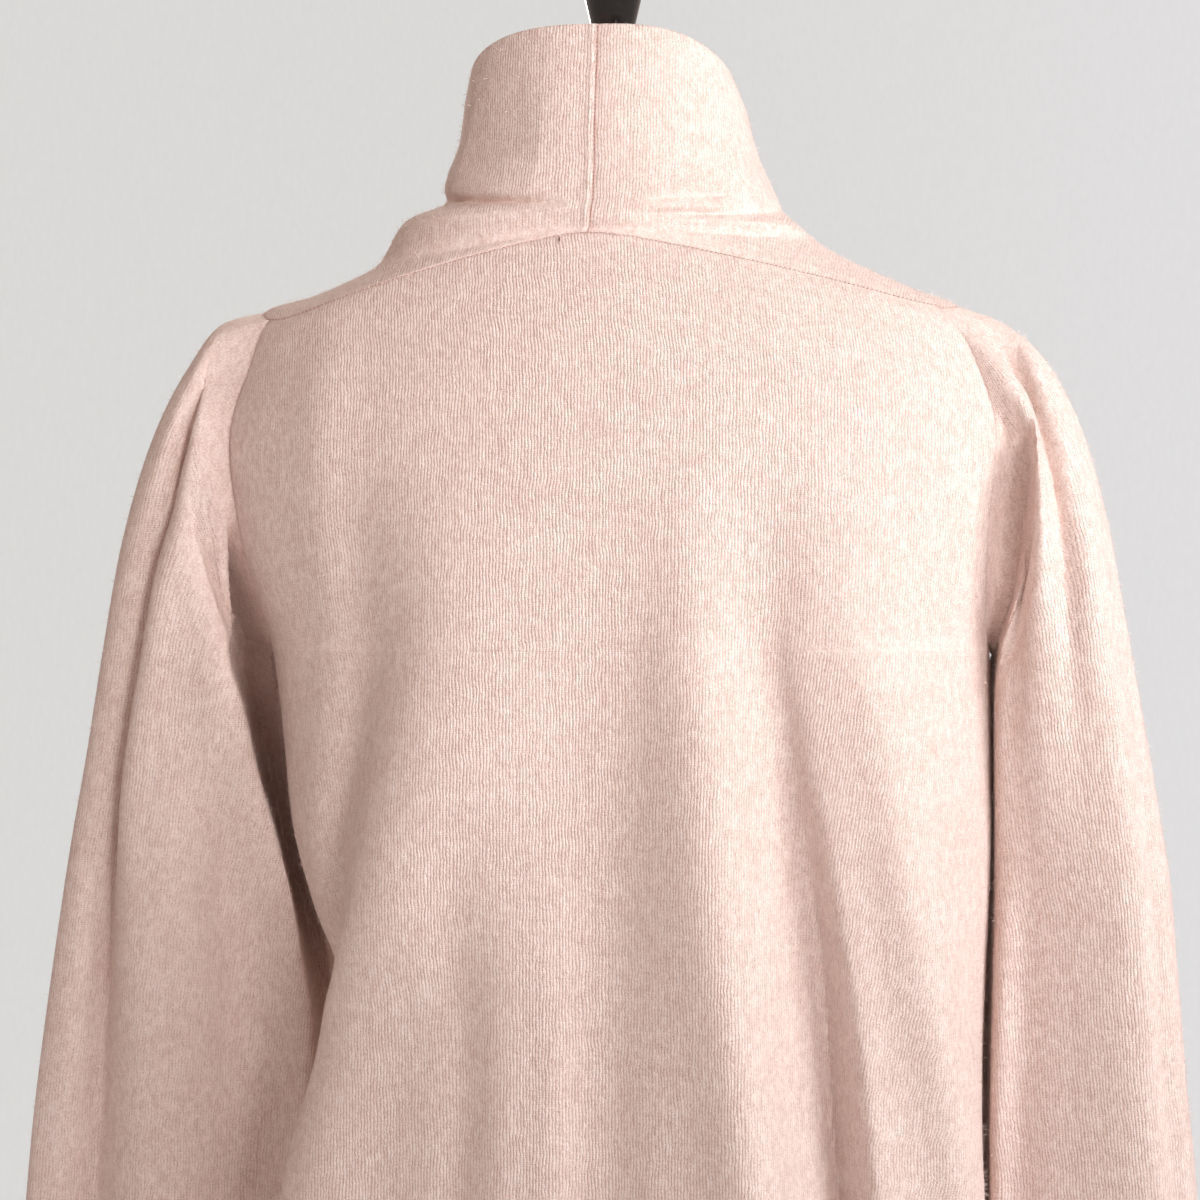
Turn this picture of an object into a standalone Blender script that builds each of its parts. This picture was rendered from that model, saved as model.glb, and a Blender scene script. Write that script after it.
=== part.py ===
"""A turtleneck sweater hanging on a limbless dress form, as a Blender 4.5 script.

Metres, +Z up. The sweater faces -Y and its wearer's left is +X. The origin is the middle of the
underside of the stand's round base. Every piece of cloth is one wall: an outer face worked out from
the tables below and an inner face set in from it, closed along the cut edges.

The trunk and the collar share one surface. A point on it has a turn, in degrees round the body from
the wearer's left (0) through the centre back (90) to the wearer's right (180) and on to the centre
front (-90), and a level, which counts the rows of LOOPS from the hem up. The panels are cut out of
that surface along the side seams, the armholes, the shoulder seam and the centre-back collar seam.
A sleeve has a turn round its tube, from its top edge (0) through the back (90) and the underarm
seam (180) to the front (270), and a level that counts its rings from the armhole down.
"""

import bpy
import numpy as np

# --- Cloth and seams
WALL = 0.002
COLLAR_WALL = 0.003
SEAM_GAP = 0.0003
SLEEVE_GAP = 0.0004

# --- The loops of the trunk and the collar, from the hem up. left and right are half widths at the
# sides and mid is the sides' place in Y; back and front are the centre lines' places in Y; each has
# its height. corner is the loop's squareness, pitch how its height runs from the side to the centre
# (1 is straight along X, as at the shoulder seam), ridge how far the shoulder rises over it and lean
# how far the centre line stands off to the left.
LOOP_COLUMNS = (
    "left", "left_z", "right", "right_z", "mid", "back", "back_z", "front", "front_z",
    "corner", "pitch", "ridge", "lean",
)
LOOPS = {
    "hem": (0.172, 0.757, 0.209, 0.757, -0.004, 0.122, 0.757, -0.130, 0.757, 2.5, 2.0, 0.0, 0.0),
    "high hip": (0.163, 0.830, 0.209, 0.830, -0.004, 0.122, 0.830, -0.130, 0.830, 2.5, 2.0, 0.0, 0.0),
    "below waist": (0.154, 0.900, 0.209, 0.900, -0.004, 0.121, 0.900, -0.130, 0.900, 2.5, 2.0, 0.0, 0.0),
    "low waist": (0.150, 0.950, 0.210, 0.950, -0.004, 0.120, 0.950, -0.130, 0.950, 2.5, 2.0, 0.0, 0.0),
    "waist": (0.155, 1.000, 0.212, 1.000, -0.004, 0.119, 1.000, -0.130, 1.000, 2.5, 2.0, 0.0, 0.0),
    "over waist": (0.170, 1.040, 0.214, 1.040, -0.004, 0.118, 1.040, -0.130, 1.040, 2.5, 2.0, 0.0, 0.0),
    "rib": (0.183, 1.090, 0.2155, 1.090, -0.003, 0.116, 1.090, -0.130, 1.090, 2.5, 2.0, 0.0, 0.0),
    "under bust": (0.188, 1.140, 0.2155, 1.140, -0.002, 0.114, 1.140, -0.129, 1.140, 2.5, 2.0, 0.0, 0.0),
    "underarm": (0.194, 1.185, 0.214, 1.185, 0.0, 0.112, 1.185, -0.127, 1.185, 2.4, 2.0, 0.0, 0.0),
    "bust": (0.216, 1.245, 0.224, 1.245, 0.0, 0.109, 1.262, -0.122, 1.255, 2.4, 1.6, 0.0, 0.0),
    "blade": (0.228, 1.300, 0.236, 1.300, 0.0, 0.100, 1.330, -0.113, 1.300, 2.3, 1.4, 0.0, 0.0),
    "yoke": (0.2165, 1.345, 0.224, 1.345, 0.0, 0.080, 1.378, -0.104, 1.330, 2.4, 1.2, 0.004, 0.0040),
    "seam": (0.200, 1.379, 0.196, 1.379, 0.0, 0.058, 1.417, -0.100, 1.352, 3.0, 1.12, 0.016, 0.0080),
    "shoulder": (0.170, 1.388, 0.170, 1.389, -0.002, 0.0575, 1.4185, -0.099, 1.357, 2.7, 1.1, 0.008, 0.0080),
    "foot": (0.136, 1.4055, 0.124, 1.4108, -0.006, 0.057, 1.4205, -0.098, 1.3625, 2.4, 1.3, 0.003, 0.0070),
    "roll": (0.121, 1.4275, 0.109, 1.4225, -0.010, 0.0585, 1.428, -0.0985, 1.372, 2.3, 1.8, 0.0, 0.0065),
    "crease": (0.1005, 1.4425, 0.0955, 1.4385, -0.014, 0.055, 1.439, -0.0965, 1.384, 2.3, 2.2, 0.0, 0.0055),
    "low neck": (0.0940, 1.4605, 0.085, 1.458, -0.018, 0.0525, 1.457, -0.0965, 1.400, 2.3, 2.3, 0.0, 0.0050),
    "neck": (0.0895, 1.477, 0.079, 1.476, -0.021, 0.0505, 1.480, -0.097, 1.422, 2.3, 2.3, 0.0, 0.0048),
    "high neck": (0.0875, 1.4935, 0.0745, 1.493, -0.024, 0.048, 1.507, -0.0975, 1.447, 2.3, 2.3, 0.0, 0.0042),
    "rim": (0.0845, 1.507, 0.0695, 1.5015, -0.026, 0.0455, 1.533, -0.098, 1.470, 2.3, 2.3, 0.0, 0.0038),
}
UNDERARM_LEVEL = list(LOOPS).index("underarm")
SEAM_LEVEL = list(LOOPS).index("seam")
FOOT_LEVEL = list(LOOPS).index("foot")
RIM_LEVEL = list(LOOPS).index("rim")
RIDGE_REACH = 0.045
RIGHT_RIDGE_SHARE = 0.5
PEAK_ROUND = 0.012

# --- The armholes on that surface: how far each reaches round from the side at its widest and at the
# shoulder tip, in turns.
ARM_TURN = {"left": 23.0, "right": 28.0}
TIP_TURN = {"left": 20.0, "right": 24.0}
ARM_WIDEST = 0.7

# --- The trunk's folds. Each has its turn and how far it stands out, in millimetres, at these
# heights, then its reach in turns to either side and its sharpness (2 is round, less is pinched).
FOLD_HEIGHTS = (0.757, 0.90, 0.98, 1.06, 1.14, 1.22, 1.30)
FOLDS_FADE = (10.2, 11.8)
TRUNK_FOLDS = {
    "back ridge right of centre": ((112, 108.7, 106, 103, 101.7, 100.5, 100), (15, 14, 13, 11, 8, 4, 0), 6.5, 6.5, 2),
    "back centre trough": ((89, 89.5, 90, 90.6, 91.6, 94.5, 96), (-8, -8, -8, -7, -5, -2, 0), 8, 5, 2),
    "back deep trough": ((123, 120, 117.5, 115, 112.5, 110.5, 110), (-10, -10, -10, -10, -9, -5, 0), 6.5, 6, 2),
    "back pinched core": ((132.5, 128, 124.2, 119, 114, 112.5, 112), (-19, -18, -15, -9, -3, 0, 0), 4.0, 3.4, 1.6),
    "back right ridge": ((160, 152.5, 144.5, 136.5, 131.5, 124.5, 119), (15, 14, 13, 11, 8, 4, 0), 7, 15, 2),
    "back left flare": ((27, 28, 34, 54, 64.5, 70, 73), (46, 38, 25, 17, 14, 8, 0), 13, 16, 2),
    "back left recess": ((10, 12, 20, 38, 48, 53, 56), (0, 0, -3, -9, -9, -5, 0), 8, 9, 2),
    "back left ridge": ((20, 20, 20, 30, 41, 48, 50), (0, 0, 0, 1, 3, 4, 3), 6, 6, 2),
    "back soft ridge": ((85, 85.6, 86, 86, 86, 86, 86), (5, 5, 4, 2, 0, 0, 0), 4, 4, 2),
    "back soft dip": ((67, 67, 67, 70, 72, 72, 72), (-5, -5, -4, -2, 0, 0, 0), 6, 6, 2),
    "front left ridge": ((-62, -63, -64, -66, -68, -70, -70), (15, 14, 12, 9, 6, 2, 0), 8, 8, 2),
    "front centre trough": ((-84, -85, -86, -87, -88, -88, -88), (-11, -10, -9, -7, -4, -1, 0), 8, 7, 2),
    "front right ridge": ((-116, -114, -112, -110, -108, -107, -107), (16, 15, 13, 10, 6, 2, 0), 7, 8, 2),
    "front right trough": ((-133, -131, -129, -127, -125, -124, -124), (-13, -12, -11, -9, -5, -2, 0), 6, 6, 2),
    "front right flank": ((-151, -149, -148, -146, -144, -142, -142), (10, 10, 9, 7, 4, 2, 0), 7, 8, 2),
    "front right recess": ((-167, -167, -167, -167, -167, -167, -167), (-12, -12, -12, -12, -10, -5, 0), 9, 9, 2),
    "front left trough": ((-44, -45, -46, -48, -50, -50, -50), (-9, -9, -8, -7, -4, -1, 0), 7, 7, 2),
    "front left flank": ((-26, -27, -28, -30, -32, -33, -33), (9, 9, 8, 6, 4, 1, 0), 8, 8, 2),
}

# --- Creases and swells that run round the collar, each from one turn and level to another: how far
# it stands out in millimetres and its reach in levels.
COLLAR_FOLDS = {
    "left neck crease": (-30, 16.0, 82, 15.6, -5.5, 0.32),
    "left overhang": (-10, 16.9, 78, 16.6, 2.2, 0.55),
    "left foot crease": (-12, 14.0, 88, 13.4, -2.8, 0.35),
    "right neck crease": (97, 14.8, 190, 15.9, -4.5, 0.34),
    "right overhang": (100, 16.2, 185, 16.8, 1.8, 0.55),
    "right foot crease": (104, 13.9, 168, 14.4, -2.4, 0.34),
    "left hollow": (30, 17.4, 72, 17.6, -3.0, 0.9),
    "back swell": (62, 18.6, 100, 18.2, 1.6, 1.0),
    "right hollow": (104, 16.6, 150, 17.2, -1.6, 0.8),
    "front crease": (-150, 15.6, -35, 15.7, -4.0, 0.4),
    "front slump": (-140, 17.9, -50, 17.6, -2.0, 0.7),
}

# --- Sleeves, from the armhole down. outer and inner are the tube's edges as half widths from the
# sweater's middle, each with its height; mid is the tube's place in Y, deep its half depth, swing
# how far its inner edge lies forward of its outer one, and belly its bulge away from the body.
RING_COLUMNS = ("outer", "outer_z", "inner", "inner_z", "mid", "deep", "swing", "belly")
LEFT_RINGS = (
    (0.2200, 1.373, 0.1970, 1.180, 0.000, 0.054, 0.004, 0.016),
    (0.2400, 1.346, 0.1970, 1.170, -0.001, 0.057, 0.016, 0.012),
    (0.2590, 1.305, 0.1930, 1.153, -0.004, 0.060, 0.034, 0.006),
    (0.2760, 1.245, 0.1905, 1.128, -0.007, 0.061, 0.046, 0.002),
    (0.2880, 1.178, 0.1880, 1.100, -0.011, 0.060, 0.052, 0.000),
    (0.2970, 1.122, 0.1845, 1.070, -0.014, 0.057, 0.056, 0.000),
    (0.3065, 1.072, 0.1765, 1.035, -0.017, 0.052, 0.056, 0.000),
    (0.3165, 1.010, 0.1690, 0.990, -0.018, 0.046, 0.054, 0.000),
    (0.3245, 0.958, 0.1665, 0.955, -0.019, 0.041, 0.050, 0.000),
    (0.3315, 0.910, 0.1690, 0.910, -0.020, 0.037, 0.046, 0.000),
    (0.3370, 0.860, 0.1740, 0.860, -0.020, 0.035, 0.042, 0.000),
    (0.3430, 0.790, 0.1810, 0.790, -0.020, 0.036, 0.040, 0.000),
)
RIGHT_RINGS = (
    (0.2165, 1.371, 0.2160, 1.180, 0.000, 0.054, 0.004, 0.016),
    (0.2370, 1.356, 0.2155, 1.169, -0.001, 0.057, 0.018, 0.012),
    (0.2600, 1.320, 0.2130, 1.152, -0.006, 0.060, 0.038, 0.006),
    (0.2780, 1.262, 0.2105, 1.130, -0.011, 0.061, 0.048, 0.002),
    (0.2895, 1.200, 0.2095, 1.104, -0.014, 0.060, 0.050, 0.000),
    (0.2985, 1.150, 0.2085, 1.074, -0.018, 0.058, 0.054, 0.000),
    (0.3070, 1.100, 0.2080, 1.040, -0.020, 0.056, 0.056, 0.000),
    (0.3145, 1.052, 0.2070, 1.005, -0.021, 0.055, 0.056, 0.000),
    (0.3180, 1.008, 0.2060, 0.972, -0.022, 0.054, 0.056, 0.000),
    (0.3235, 0.940, 0.2050, 0.925, -0.022, 0.053, 0.054, 0.000),
    (0.3290, 0.875, 0.2050, 0.870, -0.022, 0.053, 0.052, 0.000),
    (0.3300, 0.790, 0.2060, 0.790, -0.022, 0.053, 0.050, 0.000),
)
SLEEVE_ROUND = 2.2
SLEEVE_FOLD_LEVELS = (0, 1.2, 2.4, 4, 6, 8, 10, 12)
LEFT_SLEEVE_FOLDS = {
    "seam valley": ((122, 122, 124, 128, 128, 128, 128, 128), (0, -10, -5, 0, 0, 0, 0, 0), 26, 24, 2),
    "outer pipe": ((18, 18, 18, 14, 12, 14, 18, 20), (0, 1, 2, 3, 4, 5, 6, 6), 12, 12, 2),
    "outer trough": ((64, 62, 56, 44, 36, 50, 57, 60), (0, -4, -7, -9, -10, -12, -13, -13), 13, 14, 2),
    "back crest": ((118, 116, 112, 106, 92, 85, 87, 88), (0, 0, 2, 5, 7, 8, 9, 9), 18, 20, 2),
    "back dip": ((110, 110, 110, 110, 108, 107, 107, 107), (0, 0, 0, 0, -2, -4, -3, -2), 8, 8, 2),
    "inner pipe": ((150, 150, 150, 150, 148, 145, 140, 138), (0, 0, 0, 0, 3, 4, 4, 4), 12, 14, 2),
    "front trough": ((292, 292, 292, 294, 296, 298, 300, 300), (0, -1, -3, -5, -7, -8, -9, -9), 15, 15, 2),
    "front crest": ((258, 258, 258, 256, 254, 252, 250, 250), (0, 1, 3, 5, 6, 7, 8, 8), 16, 16, 2),
    "front dip": ((222, 222, 222, 220, 218, 216, 215, 215), (0, -1, -2, -3, -4, -5, -5, -5), 11, 11, 2),
}
RIGHT_SLEEVE_FOLDS = {
    "seam valley": ((104, 104, 112, 118, 118, 118, 118, 118), (0, -11, -4, 0, 0, 0, 0, 0), 30, 28, 2),
    "cap crease": ((30, 48, 66, 76, 78, 78, 78, 78), (-1, -8, -10, -6, -1, 0, 0, 0), 18, 7, 2),
    "cap ridge": ((50, 66, 84, 94, 98, 100, 100, 100), (0, 3, 4, 4, 2, 0, 0, 0), 9, 14, 2),
    "back crest": ((96, 96, 98, 100, 106, 112, 116, 118), (0, 0, 1, 3, 6, 9, 10, 10), 22, 20, 2),
    "outer dip": ((30, 30, 30, 30, 30, 32, 34, 36), (0, 0, 0, -1, -3, -4, -5, -5), 12, 12, 2),
    "inner dip": ((152, 152, 152, 152, 152, 154, 156, 158), (0, 0, 0, -1, -3, -5, -6, -6), 11, 12, 2),
    "front crest": ((296, 296, 296, 294, 292, 290, 288, 286), (0, 1, 2, 4, 6, 7, 8, 8), 16, 16, 2),
    "front trough": ((256, 256, 256, 255, 254, 252, 250, 250), (0, -1, -3, -5, -7, -8, -9, -9), 14, 14, 2),
    "front inner crest": ((218, 218, 218, 216, 214, 212, 210, 210), (0, 1, 2, 3, 5, 6, 6, 6), 13, 13, 2),
}

# --- How finely the walls are divided
LOW_LEVELS = (0, 0.45, 0.9, 1.4, 1.9, 2.5, 3.1, 3.7, 4.3, 5.0, 5.7, 6.4, 7.2)
ARM_STEPS = 11
BACK_COLUMNS = 36
COLUMN_FOLDS = {
    "back left flare": 8,
    "back centre trough": 17,
    "back ridge right of centre": 21,
    "back pinched core": 25,
    "back right ridge": 29,
}
FRONT_COLUMNS = 24
TIP_COLUMNS = 4
COLLAR_LEVELS = (12, 12.5, 13, 13.5, 14, 14.6, 15.2, 15.6, 15.95, 16.3, 16.8, 17.5, 18.3, 19.2, 20)
SLEEVE_LEVELS = (0, 0.5, 1, 1.6, 2.3, 3, 3.7, 4.4, 5.1, 5.9, 6.8, 7.7, 8.7, 9.7, 10.8, 12)

# --- The dress form. Its shoulders follow the sweater's, just under the cloth.
FORM_LOOPS = {
    "bottom": (0.146, 0.700, 0.146, 0.700, 0.0, 0.084, 0.700, -0.088, 0.700, 2.2, 2.0, 0.0, 0.0),
    "hip": (0.154, 0.800, 0.154, 0.800, 0.0, 0.086, 0.800, -0.090, 0.800, 2.2, 2.0, 0.0, 0.0),
    "high hip": (0.148, 0.890, 0.148, 0.890, 0.0, 0.080, 0.890, -0.086, 0.890, 2.2, 2.0, 0.0, 0.0),
    "waist": (0.118, 1.030, 0.118, 1.030, 0.0, 0.068, 1.030, -0.082, 1.030, 2.2, 2.0, 0.0, 0.0),
    "rib": (0.134, 1.120, 0.134, 1.120, 0.0, 0.083, 1.120, -0.098, 1.120, 2.2, 2.0, 0.0, 0.0),
    "bust": (0.156, 1.200, 0.156, 1.200, 0.0, 0.097, 1.200, -0.114, 1.200, 2.2, 2.0, 0.0, 0.0),
    "chest": (0.176, 1.262, 0.176, 1.262, 0.0, 0.099, 1.275, -0.110, 1.262, 2.2, 1.6, 0.0, 0.0),
    "blade": (0.188, 1.310, 0.188, 1.310, 0.0, 0.0915, 1.335, -0.102, 1.305, 2.3, 1.4, 0.0, 0.0),
    "yoke": (0.1925, 1.350, 0.1925, 1.350, 0.0, 0.0725, 1.378, -0.0945, 1.333, 2.5, 1.2, 0.003, 0.0),
    "seam": (0.186, 1.3777, 0.186, 1.3777, 0.0, 0.053, 1.4107, -0.0925, 1.354, 2.8, 1.1, 0.014, 0.0),
    "shoulder": (0.160, 1.3872, 0.160, 1.3872, -0.002, 0.052, 1.4137, -0.091, 1.360, 2.6, 1.1, 0.008, 0.0),
    "foot": (0.118, 1.4060, 0.118, 1.4060, -0.005, 0.050, 1.4190, -0.087, 1.372, 2.4, 1.3, 0.003, 0.0),
    "root": (0.076, 1.4270, 0.076, 1.4270, -0.008, 0.045, 1.4330, -0.074, 1.394, 2.2, 1.8, 0.0, 0.0),
    "neck": (0.060, 1.4480, 0.060, 1.4480, -0.010, 0.0435, 1.4520, -0.066, 1.430, 2.1, 2.1, 0.0, 0.0),
    "top": (0.0545, 1.4950, 0.0545, 1.4950, -0.009, 0.0435, 1.4950, -0.0615, 1.495, 2.0, 2.0, 0.0, 0.0),
}
FORM_COLUMNS = 28
FORM_LEVELS = (0, 0.5, 1, 1.5, 2, 2.5, 3, 3.6, 4.3, 5, 5.7, 6.4, 7.1, 7.8, 8.4, 9, 9.5, 10, 10.6, 11.3, 12, 12.5, 13, 14)
NECK_TOP_Z = 1.495
NECK_MID_Y = -0.009
FORM_BOTTOM_Z = 0.700

# --- Turned pieces of the stand, each a profile of radius and height from the top down.
CAP_PROFILE = ((0, 0.0125), (0.020, 0.0120), (0.040, 0.0095), (0.0515, 0.0050), (0.0535, 0.0), (0, 0))
FINIAL_PROFILE = (
    (0, 0.0960), (0.0075, 0.0950), (0.0145, 0.0915), (0.0195, 0.0850), (0.0212, 0.0760),
    (0.0198, 0.0640), (0.0163, 0.0480), (0.0124, 0.0310), (0.0098, 0.0200), (0.0098, 0.0140),
    (0.0150, 0.0080), (0.0180, 0.0035), (0.0180, 0.0), (0, 0),
)
POLE_PROFILE = (
    (0, 1.0), (0.040, 1.0), (0.040, 0.988), (0.020, 0.975), (0.0125, 0.960), (0.0125, 0.0), (0, 0.0),
)
BASE_PROFILE = (
    (0, 0.052), (0.026, 0.052), (0.030, 0.046), (0.030, 0.030), (0.040, 0.022), (0.110, 0.018),
    (0.160, 0.014), (0.170, 0.008), (0.170, 0.0), (0, 0.0),
)
BASE_BOSS_Z = 0.052
CAP_HEIGHT = 0.0125
TURNED_STEPS = 24
BASE_STEPS = 40


def columns_of(rows, names):
    """The table's columns by name, as arrays."""
    return {name: np.array(column, float) for name, column in zip(names, zip(*rows))}


BODY = columns_of(LOOPS.values(), LOOP_COLUMNS)
FORM = columns_of(FORM_LOOPS.values(), LOOP_COLUMNS)
SLEEVES = {
    "left": (1, columns_of(LEFT_RINGS, RING_COLUMNS), LEFT_SLEEVE_FOLDS),
    "right": (-1, columns_of(RIGHT_RINGS, RING_COLUMNS), RIGHT_SLEEVE_FOLDS),
}


def curve(knots, values, at):
    """Values read off the smooth curve through the knots, which never overshoots them."""
    knots = np.asarray(knots, float)
    values = np.asarray(values, float)
    at = np.clip(np.asarray(at, float), knots[0], knots[-1])
    flat = values.reshape(len(knots), -1)
    step = np.diff(knots)[:, None]
    slope = np.diff(flat, axis=0) / step
    weight_before = 2 * step[1:] + step[:-1]
    weight_after = step[1:] + 2 * step[:-1]
    same_way = slope[:-1] * slope[1:] > 0
    before = np.where(same_way, slope[:-1], 1.0)
    after = np.where(same_way, slope[1:], 1.0)
    mean = (weight_before + weight_after) / (weight_before / before + weight_after / after)
    tangent = np.vstack([slope[:1], np.where(same_way, mean, 0.0), slope[-1:]])
    spot = at.reshape(-1)
    k = np.clip(np.searchsorted(knots, spot, side="right") - 1, 0, len(knots) - 2)
    span = step[k]
    t = (spot - knots[k])[:, None] / span
    found = (
        (2 * t**3 - 3 * t**2 + 1) * flat[k]
        + (t**3 - 2 * t**2 + t) * span * tangent[k]
        + (3 * t**2 - 2 * t**3) * flat[k + 1]
        + (t**3 - t**2) * span * tangent[k + 1]
    )
    return found.reshape(at.shape + values.shape[1:])


def unit(vectors):
    """Each vector at length one."""
    return vectors / np.linalg.norm(vectors, axis=-1, keepdims=True)


def turn_from(turn, centre):
    """How far each turn lies from the centre, the short way round."""
    return (turn - centre + 180) % 360 - 180


def loop_points(table, turn, level):
    """Points on the surface of a table of loops, and the level way out from each."""
    turn, level = np.broadcast_arrays(np.asarray(turn, float), np.asarray(level, float))
    row = {name: curve(np.arange(len(column)), column, level) for name, column in table.items()}
    across = np.cos(np.radians(turn))
    along = np.sin(np.radians(turn))
    power = 2 / row["corner"]
    on_left = across >= 0
    half = np.where(on_left, row["left"], row["right"])
    side_z = np.where(on_left, row["left_z"], row["right_z"])
    ridge = np.where(on_left, row["ridge"], row["ridge"] * RIGHT_RIDGE_SHARE)
    depth = np.where(along >= 0, row["back"] - row["mid"], row["mid"] - row["front"])
    centre_z = np.where(along >= 0, row["back_z"], row["front_z"])
    share = np.sign(across) * np.abs(across) ** power
    x = half * share + row["lean"] * (1 - share**2)
    off = depth * np.sign(along) * np.abs(along) ** power
    run = (np.hypot(half * share, PEAK_ROUND) - PEAK_ROUND) / (np.hypot(half, PEAK_ROUND) - PEAK_ROUND)
    climb = (1 - np.clip(run, 0, 1) ** row["pitch"]) ** (1 / row["pitch"])
    arch = np.clip(1 - (off / RIDGE_REACH) ** 2, 0, 1) ** 2
    z = side_z - ridge + (centre_z - side_z + ridge) * climb + ridge * arch
    out_x = np.sign(across) * np.abs(across) ** (2 - power) / half
    out_y = np.sign(along) * np.abs(along) ** (2 - power) / depth
    out = unit(np.stack([out_x, out_y, np.zeros_like(out_x)], axis=-1))
    return np.stack([x, row["mid"] + off, z], axis=-1), out


def fold_depth(folds, knots, turn, at):
    """How far the folds in a table move a point out, in metres."""
    depth = np.zeros(np.broadcast(turn, at).shape)
    for turns, millimetres, reach_below, reach_above, sharpness in folds.values():
        offset = turn_from(turn, curve(knots, turns, at))
        reach = np.where(offset < 0, reach_below, reach_above)
        depth += curve(knots, millimetres, at) * np.exp(-np.abs(offset / reach) ** sharpness)
    return depth / 1000


def collar_fold_depth(turn, level):
    """How far the collar's creases and swells move a point out, in metres."""
    depth = np.zeros(np.broadcast(turn, level).shape)
    for start, start_level, end, end_level, millimetres, reach in COLLAR_FOLDS.values():
        middle = (start + end) / 2
        share = (middle + turn_from(turn, middle) - start) / (end - start)
        inside = np.clip(share, 0, 1)
        taper = np.sin(np.pi * inside) ** 0.7
        away = (level - (start_level + (end_level - start_level) * inside)) / reach
        depth += millimetres * taper * np.exp(-(away**2))
    return depth / 1000


def trunk_points(turn, level):
    """Outer face of the trunk and collar."""
    turn, level = np.broadcast_arrays(np.asarray(turn, float), np.asarray(level, float))
    base, out = loop_points(BODY, turn, level)
    depth = fold_depth(TRUNK_FOLDS, FOLD_HEIGHTS, turn, base[..., 2]) * curve(FOLDS_FADE, (1, 0), level)
    depth = depth + collar_fold_depth(turn, level)
    return base + out * depth[..., None]


def trunk_normals(turn, level):
    """Unit normals of that face, pointing out."""
    turn_step, level_step = 0.4, 0.02
    low = np.clip(level - level_step, 0, RIM_LEVEL)
    high = np.clip(level + level_step, 0, RIM_LEVEL)
    round_it = trunk_points(turn + turn_step, level) - trunk_points(turn - turn_step, level)
    up_it = trunk_points(turn, high) - trunk_points(turn, low)
    return unit(np.cross(round_it, up_it))


def arm_turn(side, level):
    """How far round from the side that armhole's edge lies at this level."""
    share = np.clip((level - UNDERARM_LEVEL) / (SEAM_LEVEL - UNDERARM_LEVEL), 0, 1)
    opening = np.sqrt(np.clip(1 - (1 - np.minimum(share / ARM_WIDEST, 1)) ** 2, 0, 1))
    closing = np.clip((share - ARM_WIDEST) / (1 - ARM_WIDEST), 0, 1) ** 2
    return ARM_TURN[side] * opening - (ARM_TURN[side] - TIP_TURN[side]) * closing


def column_turns(level, sign, count):
    """Turns of a panel's columns at one level: sign 1 is the back, from left to right, -1 the front.

    The back's columns run down its folds, so that each fold has columns of its own at every level,
    and part the shoulder seam evenly on either side of the centre. Only the outermost ones give way
    to the armholes.
    """
    fine = np.linspace(0, 180, 721)
    points, _ = loop_points(BODY, sign * fine, level)
    length = np.concatenate([[0], np.cumsum(np.linalg.norm(np.diff(points, axis=0), axis=1))])
    columns = np.arange(count + 1)
    halves = np.interp((0, 90, 180), fine, length)
    spread = curve((0, count / 2, count), halves, columns)
    if sign > 0:
        height = curve(np.arange(len(BODY["back_z"])), BODY["back_z"], level)
        turns = [0, *(curve(FOLD_HEIGHTS, TRUNK_FOLDS[name][0], height) for name in COLUMN_FOLDS), 180]
        along_folds = curve((0, *COLUMN_FOLDS.values(), count), np.interp(turns, fine, length), columns)
        share = curve((9.5, 12), (0, 1), level)
        spread = along_folds * (1 - share) + spread * share
    left, right = np.interp((arm_turn("left", level), 180 - arm_turn("right", level)), fine, length)
    give = count // 6
    spread[:give + 1] = left + (spread[give] - left) * columns[:give + 1] / give
    spread[-give - 1:] = right + (spread[-give - 1] - right) * columns[give::-1] / give
    return sign * np.interp(spread, length, fine)


def panel_levels():
    """Levels of the rows of the back and the front, closer together by the underarm."""
    share = (np.arange(ARM_STEPS + 1) / ARM_STEPS) ** 2
    upper = UNDERARM_LEVEL + (SEAM_LEVEL - UNDERARM_LEVEL) * share
    return np.concatenate([LOW_LEVELS, upper])


def panel_turns(levels, sign, count):
    """Turns of each row of a panel."""
    return np.array([column_turns(level, sign, count) for level in levels])


def grid_faces(numbers):
    """Four-cornered faces over a grid of vertex numbers."""
    a, b = numbers[:-1, :-1], numbers[:-1, 1:]
    c, d = numbers[1:, 1:], numbers[1:, :-1]
    return np.stack([a, b, c, d], axis=-1).reshape(-1, 4)


def material(name, colour, roughness, metallic=0.0, sheen=0.0):
    """A plain finish."""
    made = bpy.data.materials.new(name)
    made.use_nodes = True
    shader = made.node_tree.nodes["Principled BSDF"]
    shader.inputs["Base Color"].default_value = (*colour, 1.0)
    shader.inputs["Roughness"].default_value = roughness
    shader.inputs["Metallic"].default_value = metallic
    shader.inputs["Sheen Weight"].default_value = sheen
    made.diffuse_color = (*colour, 1.0)
    return made


def add_object(name, points, faces, finish, parent):
    """A named, smooth-shaded object from points and faces."""
    mesh = bpy.data.meshes.new(name)
    mesh.from_pydata([tuple(map(float, p)) for p in points], [], [tuple(map(int, f)) for f in faces])
    mesh.shade_smooth()
    mesh.set_sharp_from_angle(angle=np.radians(50))
    mesh.materials.append(finish)
    made = bpy.data.objects.new(name, mesh)
    made.parent = parent
    bpy.context.scene.collection.objects.link(made)
    return made


def add_wall(name, outer, inner, faces, finish, parent):
    """A wall of cloth: its outer and inner faces, closed along every free edge."""
    count = len(outer)
    edges = np.concatenate([faces[:, [k, (k + 1) % 4]] for k in range(4)])
    there = {(int(a), int(b)) for a, b in edges}
    free = [(a, b) for a, b in there if (b, a) not in there]
    rims = np.array([(b, a, a + count, b + count) for a, b in sorted(free)])
    every = np.concatenate([faces, faces[:, ::-1] + count, rims])
    return add_object(name, np.concatenate([outer, inner]), every, finish, parent)


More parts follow.
